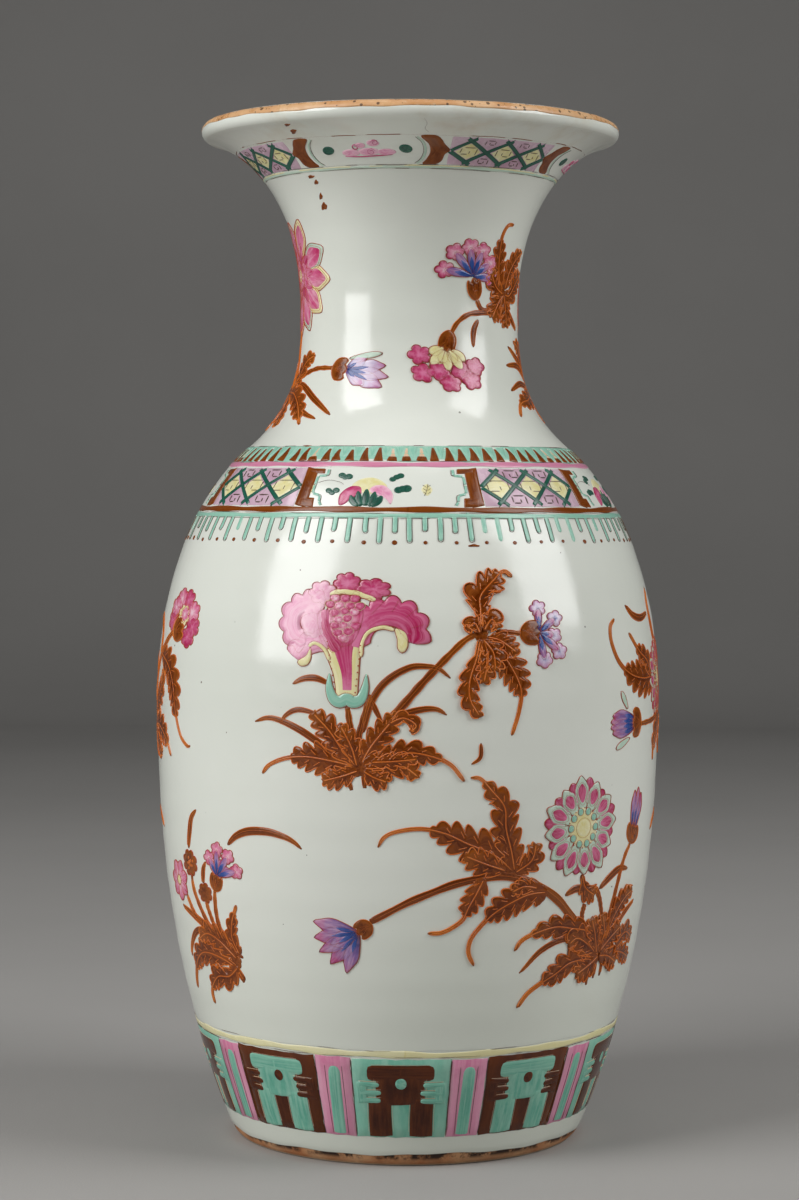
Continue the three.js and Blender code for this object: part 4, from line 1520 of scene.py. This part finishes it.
def upper_front(s):
    """Cockscomb in a tuft of lobed leaves, and a branch to a second tuft with a small blue flower."""
    s.leaf([(-11, 174), (-16, 176), (-22, 177.5), (-27, 176.5), (-31, 173.5), (-33, 169.5)], 6.4, 6, 0.02,
           0.62)
    s.leaf([(-10.5, 172.5), (-14, 170), (-18.5, 167.6)], 4.6, 4, 0.1, 0.98, 0.6)
    s.leaf([(-11, 174), (-14, 181), (-17, 189), (-20.6, 196)], 5.4, 5, 0.15)
    s.blade([(-19.6, 195.6), (-24, 197), (-27, 194.4), (-28.3, 190.5)], 0.8)
    s.blade([(-11, 176), (-17, 181), (-23, 188), (-28, 192), (-31.5, 193), (-35, 191)], 1.15, 34)
    s.leaf([(-10.8, 174), (-12, 182), (-14.4, 191)], 4.2, 4, 0.1, 1.0, 0.7)
    s.leaf([(-10, 175), (-8, 182), (-5, 189.5), (-2.2, 196)], 4.8, 5)
    s.leaf([(-4.2, 192), (-1, 194.4), (1.6, 191.4), (0.4, 188.6)], 2.6, 3, 0.1, 1.0, 0.6)
    s.blade([(-5, 192), (-1, 196), (3, 198), (6, 198), (8.2, 195.5)], 1.0)
    s.leaf([(-10, 174.5), (-5, 177), (0, 180), (5, 178.5), (9, 175), (12, 168)], 5.0, 6, 0.05, 0.7)
    s.leaf([(-9.5, 173.5), (-6, 173.5), (-1.4, 174.6), (2.4, 169.8)], 5.2, 5, 0.1, 0.95, 0.8)
    s.leaf([(-9.5, 172.5), (-7.4, 170), (-4.4, 167.8)], 4.2, 3, 0.1, 1.0, 0.6)
    s.leaf([(-8, 176), (-3, 176.5), (2, 177.5)], 3.2, 4, 0.1, 1.0, 0.6)
    s.cluster((-10.4, 173.4), 4.4)
    s.cluster((15.8, 228.6), 3.4)
    s.roots([((-13, 170), (-12, 164)), ((-9.5, 171), (-9.2, 165)), ((-8.5, 171), (-8, 166)), ((-6.5, 168),
            (-6.2, 164.5))])
    s.stem([(-10.8, 174), (-12, 186), (-13, 199)], 1.7, 1.0)
    s.stem([(-10.5, 174), (-10.5, 186), (-8.8, 199), (-7.8, 204)], 1.3, 0.9)
    s.blade([(-9.5, 188), (-8, 200), (-5, 209), (0, 215), (4, 215.6), (6.5, 214.5), (9, 210.5)], 1.1, 44)
    s.blade([(-8.3, 203), (-6.5, 196), (-5.5, 192)], 0.8)
    s.blade([(-17, 208), (-20, 210.2), (-23, 209.8), (-25.5, 207.5)], 1.0)
    s.stem([(-4.2, 193), (-1, 200), (3, 209), (8, 219), (12, 226), (14.8, 228.8)], 1.7, 1.1, 44)
    s.leaf([(15.5, 230), (15.8, 238), (16, 244), (19, 250), (22, 254.2), (24.2, 252)], 6.4, 5, 0.25, 0.78)
    s.leaf([(15.5, 229), (14.3, 233), (12.7, 231)], 3.4, 3, 0.1, 1.0, 0.7)
    s.leaf([(16.3, 230), (18.2, 234.5), (19.6, 231)], 3.6, 3, 0.1, 1.0, 0.7)
    s.leaf([(15.5, 227), (14.5, 219), (13, 210), (13, 202), (15.2, 194.5)], 3.8, 5, 0.3, 1.0, 1.0)
    s.leaf([(16, 227), (17, 219), (16, 208.6)], 4.4, 4, 0.1, 1.0, 0.8)
    s.leaf([(16, 226.5), (18.2, 221), (18.6, 213.6)], 4.8, 4, 0.1, 1.0, 0.8)
    s.leaf([(16.5, 226), (20, 221), (23, 213), (24.6, 205), (24, 196), (22.4, 186.6)], 6.2, 6, 0.1, 0.62)
    s.leaf([(17, 227.5), (20, 226), (23.8, 221)], 4.0, 4, 0.15, 1.0, 0.8)
    s.stem([(19, 229.6), (22, 229.4), (25.6, 228.6)], 1.0, 0.8, 12)
    s.carnation((29.6, 229), [(29.8, 239), (34, 234.6), (33.4, 227.4), (34.6, 221), (30.6, 217.6)], 4.2,
                s.lilac)
    s.calyx((25, 229), (30, 229), 4.9, 0.46)
    s.blade([(15.5, 184), (15.4, 178), (13.4, 175)], 0.6)
    cockscomb(s)


def lower_front(s):
    """Chrysanthemum on a bowed stem above a wide tuft, with a bud and a drooping tulip."""
    s.stem([(-8.5, 109), (-5, 112.5), (0, 117.5), (5, 121.5), (10, 125), (15, 127), (20, 128), (25, 126.5),
            (31, 122), (36, 116), (40, 109), (42.5, 104.5)], 1.3, 1.9, 90)
    s.leaf([(24, 129), (19, 137), (13, 142), (8, 146.5), (3, 148.5), (-2, 147.5), (-5, 145), (-6.5, 140.5)],
           7.4, 7, 0.02, 0.62)
    s.leaf([(24, 129), (23, 138), (21.5, 148), (21, 157), (18, 164), (15.5, 169), (13.3, 169.6)], 6.0, 7,
           0.02, 0.85)
    s.leaf([(22, 130), (17, 133.4), (12.4, 137)], 5.4, 4, 0.08, 1.0, 0.8)
    s.leaf([(24, 129), (28, 134), (29, 141)], 4.6, 4, 0.08, 1.0, 0.7)
    s.leaf([(17, 128), (15.5, 122), (13.5, 115), (12, 109.5), (8, 105), (4.5, 104.5)], 4.4, 4, 0.08, 0.48)
    s.leaf([(33, 120), (28, 119.6), (24, 117), (20, 113), (17, 108), (14.5, 102), (14, 96), (15.5, 90)], 6.4,
           6, 0.02, 0.56)
    s.leaf([(30, 122), (26.5, 123), (23.4, 121)], 3.4, 3, 0.1, 1.0, 0.6)
    s.leaf([(51, 96), (46, 101), (41, 103), (36, 104.5), (31, 103), (27, 100), (25.3, 95.5)], 4.8, 5, 0.2,
           0.78)
    s.blade([(44, 97), (40, 98.5), (36, 97.5), (32, 94), (28.5, 88), (27, 85.5)], 1.0, 34)
    s.leaf([(51, 88), (45, 88.5), (41, 87.5), (37.5, 84), (34, 81), (30, 76.5), (27.5, 70.5)], 5.2, 5, 0.2,
           0.66)
    s.leaf([(52, 89), (47, 95), (43, 98.4), (40.4, 96)], 6.2, 5, 0.05)
    s.leaf([(52, 89), (49, 86), (44.5, 82.4)], 5.6, 4, 0.05)
    s.leaf([(51, 90), (49.4, 98), (47.2, 106)], 4.6, 4)
    s.leaf([(52, 90), (53, 98), (51.3, 107)], 4.2, 4)
    s.leaf([(52, 89), (56, 88), (60.8, 84)], 5.2, 4, 0.05)
    s.leaf([(52, 91), (56, 96), (60.4, 100)], 5.2, 4, 0.05)
    s.leaf([(53, 95), (56, 105), (60, 112), (64.4, 115.4)], 4.2, 5, 0.3)
    s.blade([(58, 98), (62, 105), (68, 110)], 1.0)
    s.leaf([(60, 92), (65, 96), (70.5, 92.6)], 4.4, 4, 0.05)
    s.leaf([(60, 89), (65, 87), (70.4, 83.6)], 4.2, 4, 0.05)
    s.cluster((52, 90), 5.0)
    s.cluster((23.6, 129), 3.0)
    s.roots([((48.5, 87), (49.5, 76)), ((51.8, 87), (51.8, 78.5)), ((54.5, 87), (54.5, 79))])
    s.leaf([(42.5, 126), (44, 120), (47.5, 116)], 4.0, 4, 0.3, 1.0, 1.2)
    s.stem([(48, 119), (50, 113), (52, 104)], 1.2)
    s.stem([(44.5, 113), (44, 108), (45, 102)], 1.2)
    s.blade([(44, 119.5), (41, 120), (37.8, 117.6)], 1.3, 16)
    s.blade([(49, 118.5), (53, 123), (57, 125.8), (61.4, 125)], 1.3)
    s.stem([(54.5, 104), (55.5, 112), (57, 122), (59, 131), (61.4, 136.4)], 1.2, 0.9, 34)
    s.bud((61.6, 136), (64, 160), 5.6, 0.34)
    s.aster((42, 146), 21.5)
    s.bells((-8.2, 108.4), [(-21.6, 108.6), (-21.6, 101.6), (-20.6, 95.4), (-18, 90.4), (-14.2, 86.8),
                            (-17.6, 99)], 3.3, (-11.2, 104.2), 4.0)


def lower_left(s):
    """A tuft of leaves with a small open flower, a seed head and a star flower."""
    s.leaf([(-42.5, 79), (-46, 85), (-52, 88), (-58, 88), (-62, 84), (-65, 77), (-66.5, 70)], 5.4, 6, 0.3,
           0.78, 1.4)
    s.blade([(-42, 89), (-48, 94), (-54, 99.5), (-60, 103.5), (-67, 107)], 1.5, 36)
    s.leaf([(-43, 90), (-45, 97), (-44.5, 104), (-42.5, 112)], 3.2, 4, 0.05, 0.8)
    s.leaf([(-44, 88), (-50, 95), (-55, 97), (-60, 93)], 5.4, 5, 0.1, 0.9)
    s.leaf([(-44, 85), (-48, 80), (-53, 78.5), (-57, 72), (-57.3, 65.5)], 5.0, 5, 0.1, 0.75)
    s.stem([(-45, 90), (-49, 100), (-50, 108), (-49.5, 118)], 1.3, 0.9)
    s.stem([(-47, 91), (-54, 102), (-58, 113), (-59.2, 122)], 1.3, 0.9)
    s.stem([(-56, 100), (-60, 105), (-63, 112.5)], 1.1, 0.9)
    s.stem([(-50, 96), (-53, 108), (-53.6, 112)], 1.1, 0.9)
    s.blade([(-54, 99), (-60, 97), (-64, 91), (-66, 84)], 1.1)
    s.cluster((-45, 87), 4.0)
    s.roots([((-45, 84), (-43, 78)), ((-48, 84), (-47, 77.5)), ((-51, 84), (-51, 78))])
    s.carnation((-48.2, 123.6), [(-50.6, 131), (-47.6, 135), (-44, 132.6), (-41.6, 126.6)], 4.0, s.rose)
    s.bells((-49.5, 117), [(-50, 130), (-46, 131), (-43, 127)], 2.4, (-48.2, 124), 4.0)
    s.ruffle(s.leaves, (-59.3, 127), 6.4, 6.0, 8, 0.3)
    for k in range(9):
        a = 2.4 * k
        spot = s.spot((-59.3, 127)) + 0.62 * k**0.75 * heading(a)
        dot(s.veins, s.place, spot, 0.8, 0.42, 8)
    s.blade([(-59.5, 133), (-58.5, 140), (-57, 147), (-54.6, 151)], 1.2)
    s.ruffle(s.leaves, (-53.5, 115), 5.2, 4.6, 7, 0.31)
    s.blade([(-54, 119), (-53.5, 125), (-52.2, 129)], 1.0)
    heart = s.spot((-66.5, 118))
    for k in range(7):
        a = 2 * np.pi * k / 7 + 0.3
        way = heading(a)
        s.petal(s.rose, heart + way * 1.6, heart + way * 9.4, 3.1, 0.3, 0.4)
    edge = dot(s.yellow, s.place, heart, 2.3, 0.4, 16)
    line(s.lines, s.place, edge, 0.17, 0.48, True)
    s.blade([(-44, 137.5), (-41, 142), (-37, 144.6), (-32, 145), (-28, 143.5), (-25.5, 141.5),
             (-23.5, 138.5)], 1.3, 40)


def upper_left(s):
    """A peony on a bent stem over long lobed leaves."""
    s.stem([(-84, 182), (-84, 198), (-79, 212), (-72, 222), (-67, 227)], 1.7, 1.2, 44)
    s.leaf([(-76, 216), (-69, 211), (-65, 202), (-63.6, 191), (-61, 182), (-58, 178), (-56.4, 178)], 7.4, 7,
           0.04, 0.66)
    s.leaf([(-84, 190), (-78, 196), (-74, 203), (-74, 210)], 5.4, 5, 0.1, 0.95)
    s.leaf([(-84, 184), (-77, 184), (-71, 180), (-67, 172)], 6.2, 5, 0.05, 0.8)
    s.leaf([(-84, 184), (-91, 186), (-98, 184), (-103, 176)], 6.2, 5, 0.05, 0.75)
    s.leaf([(-84, 188), (-90, 196), (-97, 201), (-104, 200)], 5.6, 5, 0.05, 0.8)
    s.leaf([(-84, 184), (-80, 177), (-75, 172)], 4.6, 4, 0.05)
    s.leaf([(-84, 184), (-88, 177), (-92, 171)], 4.6, 4, 0.05)
    s.cluster((-84, 184), 4.4)
    s.roots([((-86, 180), (-86.5, 171)), ((-83.6, 180), (-83, 170)), ((-81, 180), (-80, 173))])
    s.blade([(-82, 206), (-88, 213), (-96, 216), (-103, 212)], 1.3, 34)
    s.blade([(-78, 214), (-78, 224), (-82, 231), (-88, 233)], 1.1, 30)
    s.stem([(-84, 200), (-90, 208), (-94, 218), (-95, 224)], 1.1, 0.8)
    s.bud((-95, 223), (-96, 243), 5.4, 0.36)
    s.calyx((-68, 226), (-62.4, 230), 6.0)
    for tip in ((-71, 231), (-70, 239), (-66, 244), (-60.6, 243.4), (-56, 236.6), (-55, 228), (-57.4, 222)):
        spot = np.array([-64.0, 231.0])
        middle = spot + (np.array(tip) - spot) * 0.72
        s.ruffle(s.deep if tip[0] % 2 else s.rose, tuple(middle), 6.0, 5.0, 6, 0.3)
    s.ruffle(s.yellow, (-62.6, 233.6), 6.4, 5.2, 8, 0.36)
    s.ruffle(s.rose, (-62, 234), 4.2, 3.6, 6, 0.42)
    s.calyx((-67.6, 225.6), (-62, 229), 5.2, 0.46)


def upper_right(s):
    """Fern-like leaves, a lilac bud lying sideways, and a chrysanthemum."""
    s.leaf([(80, 204), (74, 207), (66, 207), (59, 209.4), (54, 215), (51.6, 223), (51.6, 230), (53.8, 233.6)],
           7.6, 7, 0.12, 0.62, 1.1)
    s.leaf([(72, 206), (69, 214), (64, 219), (59.5, 227)], 4.2, 4, 0.1, 0.7, 1.0)
    s.blade([(59.6, 239), (63, 234.5), (68, 233), (74, 235)], 1.3, 30)
    s.blade([(84, 214), (78, 224), (76, 236), (79, 246)], 1.4, 34)
    s.leaf([(88, 190), (80, 186), (75, 178), (74, 170)], 6.0, 5, 0.1, 0.85)
    s.leaf([(88, 190), (94, 184), (99, 176), (100, 168)], 6.0, 5, 0.1, 0.85)
    s.leaf([(88, 191), (97, 194), (104, 191), (109, 183)], 6.4, 6, 0.05, 0.8)
    s.leaf([(88, 192), (96, 201), (104, 205), (111, 202)], 5.6, 5, 0.1, 0.85)
    s.leaf([(88, 190), (86, 181), (87, 172)], 4.8, 4, 0.05)
    s.cluster((88, 189), 4.4)
    s.roots([((86, 184), (85.6, 173)), ((89.4, 184), (90, 174)), ((92, 184), (93, 176))])
    s.stem([(88, 190), (80, 190), (72, 188), (63.4, 187.4)], 1.3, 0.9, 34)
    s.stem([(88, 190), (85, 198), (82, 206)], 1.5, 1.1)
    s.stem([(88, 192), (92, 206), (98, 218), (101, 226)], 1.3, 0.9, 34)
    s.bud((64, 188.4), (49.8, 188.6), 6.0, 0.3, 4)
    s.petal(s.sepals, *s.flat([(57, 195), (54.2, 202.6)]), 1.5)
    s.petal(s.sepals, *s.flat([(58, 182), (52.4, 178)]), 1.5)
    s.aster((79, 206.5), 17.5)
    s.carnation((101.6, 231), [(95, 232), (94.6, 239), (99, 244), (105, 244.6), (109.4, 239), (108.6, 232)],
                5.4, s.deep, s.rose)
    s.calyx((101, 224), (101.6, 231.4), 4.4, 0.46)


def neck_left(s):
    """A large pink lotus-like flower, and below it a bud reaching forward from a tuft."""
    heart = s.spot((-78, 383))
    tips = [(-48, 394), (-45, 380), (-52, 366), (-64, 358), (-80, 355), (-96, 359), (-108, 370), (-110, 386),
            (-98, 400), (-82, 407), (-64, 407)]
    for k, tip in enumerate(tips):
        end = s.spot(tip)
        base = heart + (end - heart) * 0.22
        s.petal(s.yellow if k % 3 else s.sepals, base, end, 5.8, 0.29, 0.8)
        s.petal(s.rose, heart + (end - heart) * 0.28, heart + (end - heart) * 0.94, 4.9, 0.34, 0.8)
    for reach, petals, crown in ((16.5, 13, 0.36), (11.5, 9, 0.41), (7.0, 6, 0.46)):
        for k in range(petals):
            a = 2 * np.pi * k / petals + reach
            way = heading(a)
            s.petal(s.rose if k % 3 else s.deep, heart + way * 2, heart + way * reach, 25 / petals + 0.7,
                    crown, 0.7)
    edge = dot(s.yellow, s.place, heart, 3.6, 0.5, 20)
    line(s.lines, s.place, edge, 0.18, 0.58, True)
    for k in range(8):
        a, r = 2.4 * k, 1.0 * k**0.5
        dot(s.deep, s.place, heart + r * heading(a), 0.6, 0.57, 8)
    s.stem([(-80, 331), (-78, 342), (-80, 352), (-79, 361)], 1.5, 1.2)
    s.leaf([(-80, 331), (-72, 337), (-65, 344), (-56, 347)], 4.4, 5, 0.1, 0.95)
    s.leaf([(-80, 331), (-90, 336), (-98, 343), (-103, 351)], 4.8, 5, 0.1, 0.95)
    s.leaf([(-80, 331), (-70, 330), (-60, 325), (-50, 316)], 4.6, 5, 0.05, 0.85)
    s.leaf([(-80, 331), (-90, 329), (-99, 323), (-105, 315)], 4.8, 5, 0.05, 0.85)
    s.leaf([(-80, 331), (-76, 323), (-70, 316)], 4.4, 4, 0.05)
    s.leaf([(-80, 331), (-84, 323), (-90, 315)], 4.4, 4, 0.05)
    s.blade([(-78, 331), (-66, 328), (-54, 322), (-42, 318.4)], 1.1, 30)
    s.blade([(-78, 333), (-64, 334), (-48, 327), (-35, 320)], 1.1, 34)
    s.cluster((-80, 331), 3.4)
    s.roots([((-81.5, 327), (-82.5, 316)), ((-78.6, 327), (-78, 317))])
    s.stem([(-78, 334), (-65, 338.4), (-53, 341), (-40.5, 341)], 1.1, 0.8, 34)
    s.bells((-41.4, 340.6), [(-21, 346), (-11.6, 341.6), (-10, 336.4), (-13, 332), (-22, 333)], 2.9,
            (-32.6, 340.2), 4.9, s.lilac)
    s.petal(s.sepals, *s.flat([(-31, 345), (-13.4, 347)]), 1.4)


def neck_right(s):
    """A blue and rose flower over a drooping pink one, from a tuft with long leaves to one side."""
    s.stem([(58, 374), (50, 367), (42, 365.5), (32, 364.4), (24.6, 360), (20, 352.6)], 1.2, 0.8, 44)
    s.cluster((57.4, 374), 3.2)
    s.stem([(46, 366), (40, 367), (36.6, 371.4)], 1.1, 0.9, 14)
    s.blade([(38, 362.4), (35, 357.5), (34.4, 350)], 1.0)
    s.leaf([(56, 373), (52.5, 382), (51, 391), (50.5, 398.5), (53, 403.6), (58, 404.4)], 4.6, 5, 0.1, 0.66)
    s.leaf([(58, 374), (53, 370), (48, 363.4)], 4.8, 4)
    s.leaf([(57, 374), (50.5, 377), (46, 383)], 4.0, 4)
    s.leaf([(58, 374), (60, 367), (60.5, 360)], 4.2, 4)
    s.leaf([(58, 374), (64, 374), (72, 380), (80, 385)], 5.2, 5, 0.1, 0.9)
    s.leaf([(58, 376), (62, 384), (68, 390), (76, 394)], 4.2, 5, 0.1, 0.9)
    s.blade([(60, 370), (64, 366), (70, 362), (76, 359)], 1.2)
    s.carnation((34, 381), [(17.6, 383.4), (22.6, 391), (31, 393.4), (38.6, 392), (44.4, 387), (46, 380.6)],
                4.6, s.rose)
    s.calyx((36.6, 371), (34.4, 379.6), 3.5, 0.46)
    s.patch(s.yellow, [(11, 347), (14, 341.6), (19, 340.4), (24, 342), (26.4, 346), (19, 351)], 0.29, None,
            24)
    s.carnation((18.6, 349.6), [(4.8, 346.4), (6.4, 338.4), (14.4, 339.4), (20, 334.2), (26, 339.4),
                                (31.4, 335.4), (34.2, 341.4)], 5.3, s.deep, s.yellow)
    s.calyx((21.2, 356.8), (18.4, 348.6), 3.7, 0.46)


def neck_tuft(s):
    """A tuft at the foot of the neck, its blades sweeping sideways."""
    for points, half in (
        ([(96, 338), (84, 343), (72, 346.6), (62, 351.6)], 1.3),
        ([(96, 337), (84, 339), (72, 343), (58, 343)], 1.3),
        ([(96, 336), (84, 334), (70, 335), (57, 331.6)], 1.2),
    ):
        s.blade(points, half, 34)
    s.leaf([(96, 337), (86, 331), (74, 328), (62, 326), (55.4, 320)], 4.4, 5, 0.1, 0.75)
    s.leaf([(96, 337), (88, 342), (80, 350), (70, 354)], 4.8, 5, 0.1, 0.9)
    s.leaf([(96, 337), (92, 328), (86, 319)], 4.8, 4, 0.05)
    s.leaf([(96, 337), (100, 328), (106, 320)], 4.8, 4, 0.05)
    s.leaf([(96, 337), (106, 338), (114, 332)], 4.8, 4, 0.05)
    s.leaf([(96, 337), (103, 347), (112, 352)], 4.8, 5, 0.05)
    s.cluster((96, 337), 3.4)
    s.roots([((94.6, 332), (94, 321)), ((97.6, 332), (98, 322))])
    s.stem([(96, 338), (97, 350), (100, 360)], 1.3, 1.0)
    s.carnation((100.6, 365), [(91, 366), (91.4, 374), (98, 379), (106, 378), (111, 371), (109, 364)], 5.0,
                s.deep, s.rose)
    s.calyx((100, 357), (100.6, 365.4), 4.2, 0.46)


def wear():
    """Runs of brown below the mouth, smears and specks of spilt enamel, and a hairline in the flare."""
    place = Place()
    brown = Enamel("spilt_brown", BROWN)
    pale = Enamel("spilt_green", TURQUOISE)
    dark = Enamel("hairline_and_specks", DARK_LINE)
    for x, z, wide, tall in ((-41.4, 410.8, 1.7, 1.7), (-41.5, 415, 0.95, 1.5), (-41.2, 420.8, 1.2, 1.1),
                             (-42.6, 423.2, 1.9, 0.8), (-37.4, 440.4, 1.6, 1.7), (-36.8, 442.6, 1.5, 1.2),
                             (15.6, 265, 2.6, 0.6), (-37.5, 306.4, 2.2, 0.6)):
        spot = place.spot((x, z))
        turn = all_round(18)
        ragged = 1 + 0.16 * np.sin(3 * turn + x) + 0.1 * np.sin(5 * turn)
        pad(brown, place, spot + heading(turn) * ragged[:, None] * [wide, tall], spot, 0.24)
    dot(pale, place, place.spot((15, 277.4)), 1.3, 0.2)
    crack = [(3.6, 443.2), (4.6, 441.6), (4.2, 440), (5.6, 438.6)]
    line(dark, place, place.curve(crack, 20), 0.12, 0.1)
    for _ in range(26):
        spot = place.spot((rng.uniform(-180, 180), rng.uniform(60, 262)))
        dot(dark, place, spot, rng.uniform(0.2, 0.5), 0.06, 7)


# Each spray, the angle that it is drawn about, the one that it comes to, and whether it is mirrored
for paint, middle, at, mirror, name in (
    (upper_front, 0, 0, False, "upper_front"),
    (upper_left, -75, -75, False, "upper_left"),
    (upper_right, 75, 75, False, "upper_right"),
    (upper_front, 0, 180, True, "upper_back"),
    (lower_front, 25, 25, False, "lower_front"),
    (lower_left, -50, -50, False, "lower_left"),
    (lower_left, -50, 103, True, "lower_right"),
    (lower_front, 25, 178, True, "lower_back"),
    (lower_left, -50, 256, False, "lower_back_left"),
    (neck_left, -70, -70, False, "neck_left"),
    (neck_right, 40, 40, False, "neck_right"),
    (neck_tuft, 90, 90, False, "neck_tuft"),
    (neck_right, 40, 158, True, "neck_back"),
    (neck_tuft, 90, 222, True, "neck_back_left"),
):
    paint(Spray(name, Place(middle, at, mirror)))
shoulder_band()
foot_band()
mouth_band()
wear()
for enamel in Enamel.made:
    enamel.fire()


# ---- Studio, in metres ----
LIGHT_AIM = (0, 0, 0.26)
# name, place, width, height, watts
SOFT_LIGHTS = (
    ("left_soft_box", (-1.3, -0.88, 1.2), 1.0, 1.9, 32.0),
    ("right_soft_box", (1.5, -0.5, 1.3), 1.0, 1.7, 24.0),
    ("top_light", (0.1, 0.2, 2.3), 1.2, 1.2, 4.0),
)
ROOM_COLOUR, ROOM_STRENGTH = srgb(150, 150, 150), 0.07
EYE_PLACE, EYE_TILT, EYE_ROLL = (-0.0039, -1.28981, 0.288245), 0.0384, 0.0044
LENS, SENSOR = 86.1, 36.0
PAPER_FRONT, PAPER_BEND, BEND_RADIUS, PAPER_TOP, PAPER_HALF = -3.2, 2.2, 0.9, 4.0, 4.5


def lamp(name, place, width, height, power):
    """A soft box: a rectangular light at a place, turned to face the vase's middle."""
    light = bpy.data.lights.new(name, "AREA")
    light.shape, light.size, light.size_y = "RECTANGLE", width, height
    light.energy = power
    box = bpy.data.objects.new(name, light)
    bpy.context.collection.objects.link(box)
    box.location = place
    away = np.array(place) - np.array(LIGHT_AIM)
    flat = np.hypot(away[0], away[1])
    box.rotation_euler = (np.arctan2(flat, away[2]), 0, np.arctan2(away[0], -away[1]))


def studio():
    """Pale floor that curves up into a backdrop, soft boxes left and right of the front, and a dim room."""
    profile = [(PAPER_FRONT, 0.0)] + [(x, 0.0) for x in np.linspace(PAPER_FRONT + 0.2, PAPER_BEND, 12)]
    bend = heading(np.radians(np.linspace(-90, 0, 14)))
    profile += [(PAPER_BEND + BEND_RADIUS * x, BEND_RADIUS * (1 + z)) for x, z in bend]
    profile += [(PAPER_BEND + BEND_RADIUS, PAPER_TOP)]
    across = np.linspace(-PAPER_HALF, PAPER_HALF, 10)
    points = np.array([(x, y, z) for y, z in profile for x in across]) * MM
    index = np.arange(len(points)).reshape(len(profile), len(across))
    material, tree, shader = new_finish("studio_paper", 0.7)
    cloud = clouded(tree, (168, 166, 163), (163, 161, 158), 2.0)
    dress(tree, shader, cloud, None, noise(tree, object_point(tree), 900.0, 2.0), 0.0001)
    mesh = bpy.data.meshes.new("studio_paper")
    mesh.from_pydata((points / MM).tolist(), [], grid_faces(index).tolist())
    mesh.polygons.foreach_set("use_smooth", [True] * len(mesh.polygons))
    mesh.materials.append(material)
    paper = bpy.data.objects.new("studio_paper", mesh)
    bpy.context.collection.objects.link(paper)
    for light in SOFT_LIGHTS:
        lamp(*light)
    world = bpy.data.worlds.new("room")
    world.use_nodes = True
    glow = world.node_tree.nodes["Background"].inputs
    glow["Color"].default_value, glow["Strength"].default_value = ROOM_COLOUR, ROOM_STRENGTH
    camera = bpy.data.cameras.new("camera")
    camera.lens, camera.sensor_width = LENS, SENSOR
    eye = bpy.data.objects.new("camera", camera)
    bpy.context.collection.objects.link(eye)
    eye.location = EYE_PLACE
    turn = Matrix.Rotation(np.pi / 2 - EYE_TILT, 4, "X") @ Matrix.Rotation(EYE_ROLL, 4, "Z")
    eye.rotation_euler = turn.to_euler()
    scene = bpy.context.scene
    scene.world, scene.camera = world, eye
    scene.view_settings.view_transform, scene.view_settings.look = "Standard", "None"


studio()
